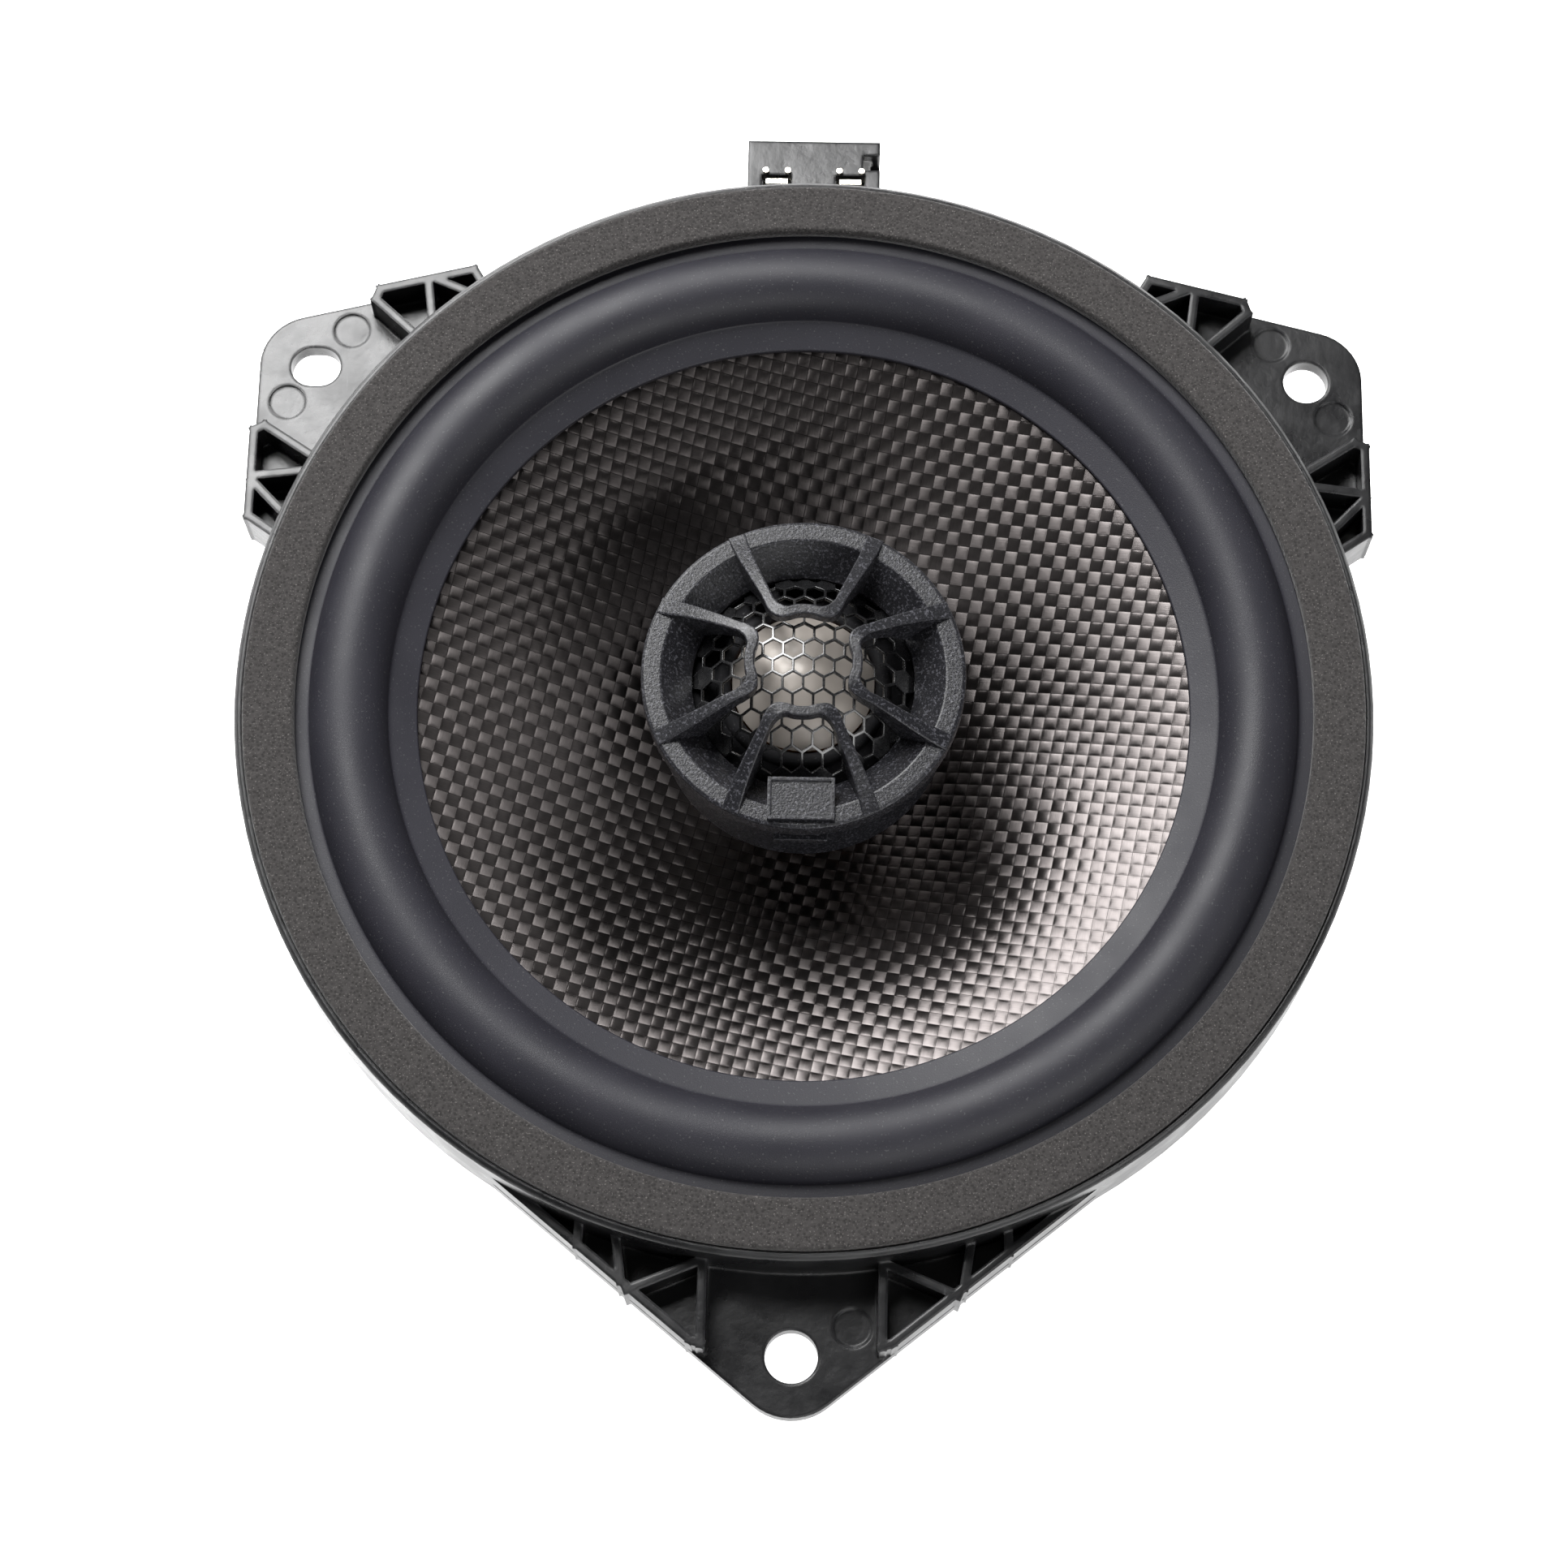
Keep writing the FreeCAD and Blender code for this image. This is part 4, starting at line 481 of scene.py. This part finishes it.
def arc(start, middle, end, steps):
    """Points along the circle through three (radius, height) points."""
    (ax, ay), (bx, by), (cx, cy) = start, middle, end
    doubled = 2 * (ax * (by - cy) + bx * (cy - ay) + cx * (ay - by))
    a2, b2, c2 = ax * ax + ay * ay, bx * bx + by * by, cx * cx + cy * cy
    ox = (a2 * (by - cy) + b2 * (cy - ay) + c2 * (ay - by)) / doubled
    oy = (a2 * (cx - bx) + b2 * (ax - cx) + c2 * (bx - ax)) / doubled
    radius = math.hypot(ax - ox, ay - oy)
    first = math.atan2(ay - oy, ax - ox)
    sweep = math.atan2(cy - oy, cx - ox) - first
    through = (math.atan2(by - oy, bx - ox) - first) % math.tau
    sweep %= math.tau
    if through > sweep:
        sweep -= math.tau
    angles = [first + sweep * step / steps for step in range(steps + 1)]
    return [(ox + radius * math.cos(angle), oy + radius * math.sin(angle)) for angle in angles]


def eased(points, rounds, closed=False):
    """Cut every corner of a run of points, to round it."""
    for _ in range(rounds):
        cut = []
        following = points[1:] + points[:1] if closed else points[1:]
        for (ax, ay), (bx, by) in zip(points, following):
            cut.append((0.75 * ax + 0.25 * bx, 0.75 * ay + 0.25 * by))
            cut.append((0.25 * ax + 0.75 * bx, 0.25 * ay + 0.75 * by))
        points = cut if closed else [points[0]] + cut[1:-1] + [points[-1]]
    return points


def lathe(profile, turns, closed=True):
    """Points and faces of a profile of (radius, height) turned round Z."""
    count = len(profile)
    points = []
    for turn in range(turns):
        angle = math.tau * turn / turns
        cosine, sine = math.cos(angle), math.sin(angle)
        points += [(radius * cosine, radius * sine, height) for radius, height in profile]
    faces = []
    for turn in range(turns):
        here, after = turn * count, (turn + 1) % turns * count
        for step in range(count if closed else count - 1):
            nearby = (step + 1) % count
            faces.append((here + step, after + step, after + nearby, here + nearby))
    return points, faces


def joined(*parts):
    """Several (points, faces) as one."""
    points, faces = [], []
    for more_points, more_faces in parts:
        shift = len(points)
        points += more_points
        faces += [tuple(corner + shift for corner in face) for face in more_faces]
    return points, faces


def outward(made):
    """Turn a closed mesh's faces to point out of it."""
    mesh = made.data
    work = bmesh.new()
    work.from_mesh(mesh)
    bmesh.ops.recalc_face_normals(work, faces=work.faces)
    work.to_mesh(mesh)
    work.free()
    return made


def radial_blend(made):
    """Bake a ring's placement into its mesh."""
    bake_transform(made)
    return made


# ------------------------------------------------------------ soft ring parts


def build_gasket(material):
    """The foam ring, with rounded edges and a skin that is never quite flat."""
    inner, edge = GASKET_RADIUS - GASKET_WIDTH, GASKET_EDGE
    profile = [(inner, SEAT), (GASKET_RADIUS, SEAT), (GASKET_RADIUS, GASKET_FRONT - edge),
               (GASKET_RADIUS - edge, GASKET_FRONT)]
    steps = 18
    for step in range(1, steps):
        inward = step * (GASKET_WIDTH - 2 * edge) / steps
        profile.append((GASKET_RADIUS - edge - inward, GASKET_FRONT))
    profile += [(inner + edge, GASKET_FRONT), (inner, GASKET_FRONT - edge)]
    points, faces = lathe(eased(profile, 1, closed=True), GASKET_TURNS)
    chance = random.Random(7)
    lively = []
    for x, y, z in points:
        sink = chance.uniform(0, GASKET_UNEVEN) if z > GASKET_FRONT - GASKET_UNEVEN else 0
        lively.append((x, y, z - sink))
    made = outward(mesh_object("foam_gasket", lively, faces, material))
    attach(made, "basket_body")
    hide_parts("front_gasket")


def build_surround(material):
    """Rubber surround: flange, half roll and the sloping lip glued to the cone."""
    middle = (ROLL_OUTER + ROLL_INNER) / 2
    slope = (ROLL_FOOT - LIP_HEIGHT) / (ROLL_INNER - LIP_RADIUS)
    roll = arc((ROLL_OUTER, SEAT), (middle, ROLL_PEAK), (ROLL_INNER, ROLL_FOOT), ROLL_STEPS)
    lip = [(ROLL_INNER - step, ROLL_FOOT - step * slope) for step in (1.0, 2.0, 3.0, 3.9)]
    flange = [(radius, SEAT) for radius in (FLANGE_RADIUS, *FLANGE_LINE)]
    top = flange + roll + lip
    edge = [(LIP_RADIUS, LIP_HEIGHT), (LIP_RADIUS, LIP_HEIGHT - RUBBER)]
    under_lip = (ROLL_INNER + RUBBER, ROLL_FOOT - RUBBER * (1 - slope))
    under_foot = (ROLL_OUTER - RUBBER, FLANGE_FOOT)
    under = arc(under_lip, (middle, ROLL_PEAK - RUBBER), under_foot, ROLL_STEPS)
    profile = eased(top, 2) + edge + eased(under + [(FLANGE_RADIUS, FLANGE_FOOT)], 1)
    points, faces = lathe(profile, SURROUND_TURNS)
    made = outward(mesh_object("rubber_surround", points, faces, material))
    radial_blend(made)
    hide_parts("surround")


def cone_heights(radii):
    """The cone's front face over a set of radii: a shallow arc from the neck to the edge."""
    (neck, low), edge, high = CONE_NECK, CONE_RADIUS, CONE_EDGE
    run, rise = edge - neck, high - low
    share = (radii - neck) / run
    steepness = math.hypot(run, rise) / run
    return low + share * rise + 4 * CONE_BULGE * steepness * share * (1 - share)


def build_cone(material):
    """The cone's woven face as a true mesh of crowned tows, and its plain back."""
    neck = CONE_NECK[0] + CONE_NECK_GAP
    outside = CONE_RADIUS - CONE_EDGE_GAP
    across_tow = np.array([0.0, 0.06, 0.2, 0.4, 0.6, 0.8, 0.94])
    reach = int(CONE_RADIUS / TOW) + 1
    lines = (np.arange(-reach, reach + 1)[:, None] + across_tow).ravel()
    column, row = np.meshgrid(lines, lines, indexing="ij")
    u, v = 2 * (column % 1) - 1, 2 * (row % 1) - 1
    warp = (np.floor(column) + np.floor(row)) % 2 > 0.5
    across, along = np.where(warp, u, v), np.where(warp, v, u)
    crown = (1 - 0.5 * across ** 2 - 0.5 * np.abs(across) ** 6) * (1 - 0.8 * along ** 2)
    seam = (np.abs(u) > 0.999) | (np.abs(v) > 0.999)
    crown = np.where(seam, 0.0, crown)
    x = (column * math.cos(TOW_LAY) - row * math.sin(TOW_LAY)) * TOW
    y = (column * math.sin(TOW_LAY) + row * math.cos(TOW_LAY)) * TOW
    radii = np.hypot(x, y)
    sunk = 1.05
    z = cone_heights(np.clip(radii, neck, outside)) + TOW_CROWN * (crown - sunk)
    inside = (radii > neck) & (radii < outside)
    count = len(lines)
    whole = inside[:-1, :-1] & inside[1:, :-1] & inside[1:, 1:] & inside[:-1, 1:]
    first = np.arange(count * count).reshape(count, count)[:-1, :-1][whole]
    quads = np.stack([first, first + count, first + count + 1, first + 1], axis=1)
    used, renumbered = np.unique(quads, return_inverse=True)
    front_points = np.stack([x.ravel(), y.ravel(), z.ravel()], axis=1)[used]
    front = ([tuple(point) for point in front_points.tolist()],
             [tuple(face) for face in renumbered.reshape(-1, 4).tolist()])
    back_radii = np.linspace(CONE_NECK[0], outside, 40)
    back_line = list(zip(back_radii.tolist(), (cone_heights(back_radii) - CONE_WALL).tolist()))
    back_points, back_faces = lathe(back_line, CLOTH_TURNS, closed=False)
    back = (back_points, [face[::-1] for face in back_faces])
    made = mesh_object("woven_cone", *joined(front, back), material)
    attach(made, "cone_body")
    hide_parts("cone")


def build_glue_bead(material):
    """The ring of glue between the cone's neck and the former."""
    radius, height = CONE_NECK
    shift, half_width, half_height, steps = 0.5, 0.55, 0.6, 16
    angles = [math.tau * step / steps for step in range(steps)]
    profile = [(radius + shift + half_width * math.cos(angle),
                height + shift + half_height * math.sin(angle)) for angle in angles]
    made = outward(mesh_object("neck_glue", *lathe(profile, SMALL_TURNS), material))
    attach(made, "cone_body")


def build_spider(material):
    """The corrugated cloth that centres the coil."""
    inner, outer, rim = SPIDER_INNER, SPIDER_OUTER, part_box("spider")[1].x / MM
    line = [(inner - SPIDER_COLLAR, SPIDER_LEVEL)]
    steps = 100
    for step in range(steps + 1):
        share = step / steps
        wave = SPIDER_WAVE * math.sin(math.tau * SPIDER_ROLLS * share)
        line.append((inner + share * (outer - inner), SPIDER_LEVEL - share * SPIDER_DROP + wave))
    line.append((rim, SPIDER_LEVEL - SPIDER_DROP))
    top = [(radius, height + SPIDER_WALL) for radius, height in line]
    made = outward(mesh_object("cloth_spider", *lathe(top + line[::-1], CLOTH_TURNS), material))
    radial_blend(made)
    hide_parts("spider")


def build_tinsel_leads(material):
    """The two braided leads between the terminal strip and the cone."""
    routes = [[(sign * x, y, z) for x, y, z in TINSEL_ROUTE] for sign in (-1, 1)]
    parts = [tube(route, TINSEL_RADIUS) for route in routes]
    made = outward(mesh_object("braided_leads", *joined(*parts), material))
    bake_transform(made)
    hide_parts("tinsel_leads")


def smooth_route(route, steps):
    """A smooth curve that passes through each point of a route."""
    ends = [route[0]] + list(route) + [route[-1]]
    corners = [Vector(point) for point in ends]
    line = []
    for before, start, end, after in zip(corners, corners[1:], corners[2:], corners[3:]):
        square = 2 * before - 5 * start + 4 * end - after
        cube = 3 * start - before - 3 * end + after
        for step in range(steps):
            t = step / steps
            line.append(0.5 * (2 * start + (end - before) * t + square * t ** 2 + cube * t ** 3))
    return line + [corners[-1]]


def tube(route, radius, sides=12, steps=12):
    """Points and faces of a round tube along a route, with closed ends."""
    line = smooth_route(route, steps)
    across = Vector((1, 0, 0))
    points, faces = [], []
    for number, centre in enumerate(line):
        along = (line[min(number + 1, len(line) - 1)] - line[max(number - 1, 0)]).normalized()
        across = (across - along * across.dot(along)).normalized()
        other = along.cross(across)
        for side in range(sides):
            angle = math.tau * side / sides
            out = across * (radius * math.cos(angle)) + other * (radius * math.sin(angle))
            points.append(tuple(centre + out))
    for number in range(len(line) - 1):
        for side in range(sides):
            after = (side + 1) % sides
            low, high = number * sides, (number + 1) * sides
            faces.append((low + side, low + after, high + after, high + side))
    faces.append(tuple(range(sides)))
    faces.append(tuple(range(len(points) - sides, len(points))))
    return points, faces


# ------------------------------------------------------------ tweeter


def crown_height(radius):
    """The guard's front face: flush with the ring at its edge and high over the dome."""
    share = min(1.0, max(0.0, (BEZEL_RADIUS - radius) / (BEZEL_RADIUS - GUARD_FLAT)))
    proud = 0.05
    rise = GUARD_TOP - BEZEL_FACE - 2 * proud
    return BEZEL_FACE + proud + rise * math.sin(share * math.pi / 2) ** 1.15


def belly_height(radius):
    """The guard's rear face: buried in the bezel's cone at the ring, under the bars further in."""
    share = min(1.0, max(0.0, (BEZEL_THROAT - radius) / (BEZEL_THROAT - GUARD_FLAT)))
    rise = GUARD_TOP - GUARD_BAR_DEPTH - THROAT_HEIGHT
    return THROAT_HEIGHT + rise * math.sin(share * math.pi / 2) ** 0.7


def loop_width(spot):
    """A loop's width in plan: broad at the ring, slim along the spoke, swollen at its corners."""
    bar_end, spoke_run, corner_at, corner_spread = 9.0, 12.0, 3.7, 1.1
    toward_ring = min(1.0, max(0.0, (spot.x - bar_end) / spoke_run))
    corner = 0.0
    if spot.x < bar_end:
        corner = math.exp(-((abs(spot.y) - corner_at) / corner_spread) ** 2)
    return 1.45 + 1.15 * toward_ring ** 1.3 + 0.5 * corner


def guard_loop(quarter):
    """One loop: an S-shaped spoke in, a cross-bar with a hollow middle, and the mirrored spoke."""
    mirrored = [(x, -y) for x, y in GUARD_HALF_LINE[::-1]]
    line = smooth_route([(x, y, 0) for x, y in GUARD_HALF_LINE + mirrored], 8)
    turn = Matrix.Rotation(quarter * math.pi / 2, 3, "Z")
    edge, worn = GUARD_EDGE, GUARD_EDGE * 0.3
    points, faces = [], []
    for number, spot in enumerate(line):
        before, after = line[max(number - 1, 0)], line[min(number + 1, len(line) - 1)]
        along = (after - before).normalized()
        across = Vector((-along.y, along.x, 0))
        top = crown_height(spot.length)
        low = min(belly_height(spot.length), top - GUARD_LEAST_DEPTH)
        half_width = loop_width(spot) / 2
        inset = half_width - edge
        section = [(-half_width, low + edge), (-half_width, top - edge),
                   (-half_width + worn, top - worn), (-inset, top), (inset, top),
                   (half_width - worn, top - worn), (half_width, top - edge),
                   (half_width, low + edge), (inset, low), (-inset, low)]
        points += [tuple(turn @ (spot + across * shift + Vector((0, 0, height))))
                   for shift, height in section]
    ring = len(section)
    for number in range(len(line) - 1):
        here, after = number * ring, (number + 1) * ring
        for step in range(ring):
            nearby = (step + 1) % ring
            faces.append((here + step, here + nearby, after + nearby, after + step))
    faces.append(tuple(range(ring)))
    faces.append(tuple(range(len(points) - ring, len(points))))
    return points, faces


def build_bezel(material):
    """The tweeter's bezel ring with its four guard loops."""
    edge = 0.5
    face = [(BEZEL_RADIUS, BEZEL_REAR + 0.2), (BEZEL_RADIUS, BEZEL_FACE - edge),
            (BEZEL_RADIUS - 0.12, BEZEL_FACE - 0.18), (BEZEL_RADIUS - edge, BEZEL_FACE),
            (BEZEL_FLAT + 0.2, BEZEL_FACE), (BEZEL_FLAT, BEZEL_FACE - 0.05),
            (BEZEL_FLAT - 0.2, BEZEL_FACE - 0.25), (BEZEL_THROAT + 0.15, THROAT_HEIGHT + 0.15),
            (BEZEL_THROAT, THROAT_HEIGHT), (BEZEL_THROAT, BEZEL_SEAT), (CUP_BORE, BEZEL_SEAT),
            (CUP_BORE, BEZEL_REAR), (BEZEL_RADIUS - 0.2, BEZEL_REAR)]
    ring = lathe(face, BEZEL_TURNS)
    made = outward(mesh_object("tweeter_bezel_ring", *ring, material, smooth=False))
    shade_by_angle(made, 12)
    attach(made, "basket_body")
    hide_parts("tweeter_bezel")
    for quarter in range(GUARD_LOOPS):
        name = f"guard_loop_{quarter}"
        loop = outward(mesh_object(name, *guard_loop(quarter), material, smooth=False))
        shade_by_angle(loop, 20)
        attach(loop, "basket_body")


def shade_by_angle(made, degrees):
    """Smooth shading that keeps edges sharper than an angle."""
    made.data.shade_smooth()
    made.data.set_sharp_from_angle(angle=math.radians(degrees))


def build_mesh(material):
    """Domed steel mesh of pointed-top hexagons with rounded wires."""
    pitch, row_gap = MESH_PITCH, MESH_PITCH * math.cos(math.pi / 6)
    corner = pitch / 2 / math.cos(math.pi / 6)
    hole = (pitch - MESH_WIRE) / 2 / math.cos(math.pi / 6)
    border = 0.3
    reach = math.ceil(MESH_OPENING / row_gap)
    turns = [math.radians(60 * step + 30) for step in range(6)]
    points, faces = [], []
    for row in range(-reach, reach + 1):
        for column in range(-reach - 1, reach + 2):
            x, y = (column + 0.5 * (row % 2)) * pitch, row * row_gap
            if math.hypot(x, y) > MESH_OPENING - 0.2:
                continue
            start = len(points)
            open_cell = math.hypot(x, y) < MESH_OPENING - hole - border
            for size in (corner, hole):
                points += [(x + size * math.cos(angle), y + size * math.sin(angle), 0)
                           for angle in turns]
            for step in range(6):
                after = (step + 1) % 6
                faces.append((start + step, start + after, start + 6 + after, start + 6 + step))
            if not open_cell:
                faces.append(tuple(start + 6 + step for step in range(6)))
    foot = BEZEL_SEAT + 0.1
    lifted = [(x, y, mesh_height(math.hypot(x, y), foot) - MESH_WALL) for x, y, _ in points]
    made = mesh_object("hexagon_mesh", lifted, faces, material)
    weld = made.modifiers.new("weld", "WELD")
    weld.merge_threshold = 0.02 * MM
    thick = made.modifiers.new("thickness", "SOLIDIFY")
    thick.thickness = MESH_WALL * 1.3 * MM
    thick.offset = 0
    round_off = made.modifiers.new("round_off", "BEVEL")
    round_off.width = 0.15 * MM
    round_off.segments = 3
    round_off.limit_method = "ANGLE"
    round_off.angle_limit = math.radians(50)
    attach(made, "basket_body")
    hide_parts("tweeter_mesh")


def mesh_height(radius, foot):
    """The mesh's front face over a radius: steep at its edge and flat on top."""
    share = min(1.0, radius / MESH_OPENING)
    return foot + (MESH_PEAK - 0.1 - foot) * max(0.0, 1 - share ** 2.35) ** 0.8


def build_tweeter_surround(material):
    """The small roll between the dome and its mounting ring."""
    inner, outer, wall = DOME_ROLL_INNER, DOME_ROLL_OUTER, DOME_ROLL_WALL
    foot, seat = (inner, DOME_ROLL_FOOT), (outer, DOME_ROLL_SEAT)
    crown = ((inner + outer) / 2, DOME_ROLL_PEAK)
    top = arc(foot, crown, seat, 16) + [(DOME_ROLL_RIM, DOME_ROLL_SEAT)]
    lowered = [(radius, height - wall) for radius, height in (seat, crown, foot)]
    under = [(DOME_ROLL_RIM, DOME_ROLL_SEAT - wall)] + arc(*lowered, 16)
    made = outward(mesh_object("dome_roll", *lathe(top + under, SMALL_TURNS), material))
    radial_blend(made)
    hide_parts("tweeter_surround")


# ------------------------------------------------------------ studio


def look_at(spot, aim, up, roll):
    """A matrix for something at spot that looks at aim, turned by roll about its line of sight."""
    forward = (aim - spot).normalized()
    right = forward.cross(up).normalized()
    above = right.cross(forward)
    turned_right = right * math.cos(roll) + above * math.sin(roll)
    turned_up = above * math.cos(roll) - right * math.sin(roll)
    axes = Matrix((turned_right, turned_up, -forward)).transposed()
    return Matrix.Translation(spot) @ axes.to_4x4()


def build_camera():
    """The camera in front of the speaker, a little below its axis."""
    data = bpy.data.cameras.new("camera")
    data.sensor_width = SENSOR
    data.lens = LENS
    camera = bpy.data.objects.new("camera", data)
    bpy.context.scene.collection.objects.link(camera)
    lean = math.radians(CAMERA_LEAN)
    up = Vector((-math.sin(lean), math.cos(lean), 0))
    spot, aim = Vector(CAMERA_SPOT), Vector(CAMERA_AIM)
    camera.matrix_world = look_at(spot, aim, up, math.radians(CAMERA_ROLL))
    bpy.context.scene.camera = camera


def soft_light(name, azimuth, elevation, width, height, radiance):
    """A rectangular light that faces the speaker."""
    turn, climb = math.radians(azimuth), math.radians(elevation)
    level = math.cos(climb)
    way = Vector((level * math.cos(turn), level * math.sin(turn), math.sin(climb)))
    data = bpy.data.lights.new(name, "AREA")
    data.shape = "RECTANGLE"
    data.size, data.size_y = width, height
    data.energy = radiance * math.pi * width * height
    light = bpy.data.objects.new(name, data)
    bpy.context.scene.collection.objects.link(light)
    light.matrix_world = look_at(way * LIGHT_DISTANCE, Vector((0, 0, 0)), Vector((0, 0, 1)), 0.0)


def build_studio():
    """Four soft lights, a faint white surround and a plain pale floor under the boot."""
    for light in LIGHTS:
        soft_light(*light)
    world = bpy.data.worlds.new("studio")
    world.use_nodes = True
    surround = world.node_tree.nodes["Background"].inputs
    surround["Color"].default_value = (1.0, 1.0, 1.0, 1.0)
    surround["Strength"].default_value = WORLD_STRENGTH
    bpy.context.scene.world = world
    bpy.context.scene.view_settings.view_transform = "Standard"
    side, level = FLOOR_REACH, CAD_BOX[0].z / MM
    corners = [(-side, -side, level), (side, -side, level), (side, side, level),
               (-side, side, level)]
    floor = mesh_object("floor", corners, [(0, 1, 2, 3)], floor_paint(), smooth=False)


# ------------------------------------------------------------ the whole speaker


def dress(material, *names):
    """Give CAD nodes their material."""
    for name in names:
        mesh = NODES[name].data
        mesh.materials.clear()
        mesh.materials.append(material)


plastic = moulded_plastic()
tweeter_skin = grained_plastic()
soft_rubber = rubber("surround_rubber", 0.48, 0.56, 0.0165)
boot_rubber = rubber("boot_rubber", 0.55, 0.7, 0.014)
copper = wound_copper()
zinc = bare_metal("zinc_plate", (0.42, 0.42, 0.43), (0.58, 0.58, 0.57), 0.34)
tin = bare_metal("bright_tin", (0.70, 0.66, 0.58), (0.88, 0.84, 0.76), 0.22)
nickel = bare_metal("nickel_plate", (0.6, 0.58, 0.54), (0.72, 0.7, 0.66), 0.2)
black_zinc = bare_metal("black_zinc", (0.06, 0.06, 0.065), (0.11, 0.11, 0.115), 0.4)
anodised = bare_metal("black_anodised", (0.03, 0.03, 0.032), (0.05, 0.05, 0.053), 0.42,
                      (1.0, 1.0, 0.1))
cloth = woven_cloth()
wire_skin = insulation()

dress(plastic, "basket", "connector_housing")
dress(tweeter_skin, "tweeter_housing", "badge_plate")
dress(zinc, "top_plate", "back_plate", "tweeter_top_plate", "tweeter_yoke")
dress(ferrite(), "magnet")
dress(boot_rubber, "magnet_boot")
dress(black_zinc, "motor_screws")
dress(anodised, "tweeter_post")
dress(pearl_metal(), "tweeter_dome")
dress(copper, "voice_coil_winding", "tweeter_voice_coil")
dress(former_film(), "voice_coil_former")
dress(nickel, "tweeter_magnet")
dress(tin, "terminal_blades", "solder_tags")
dress(fibre_board(), "terminal_strip")
dress(shrink_sleeve(), "crossover_capacitor")
dress(wire_skin, "feed_leads", "tweeter_leads")

build_gasket(foam())
build_surround(soft_rubber)
build_cone(cloth)
build_glue_bead(soft_rubber)
build_spider(stiff_cloth())
build_tinsel_leads(tinsel_braid())
build_bezel(tweeter_skin)
build_mesh(painted_wire())
build_tweeter_surround(rubber("dome_cloth", 0.75, 0.9, 0.004))
build_camera()
build_studio()
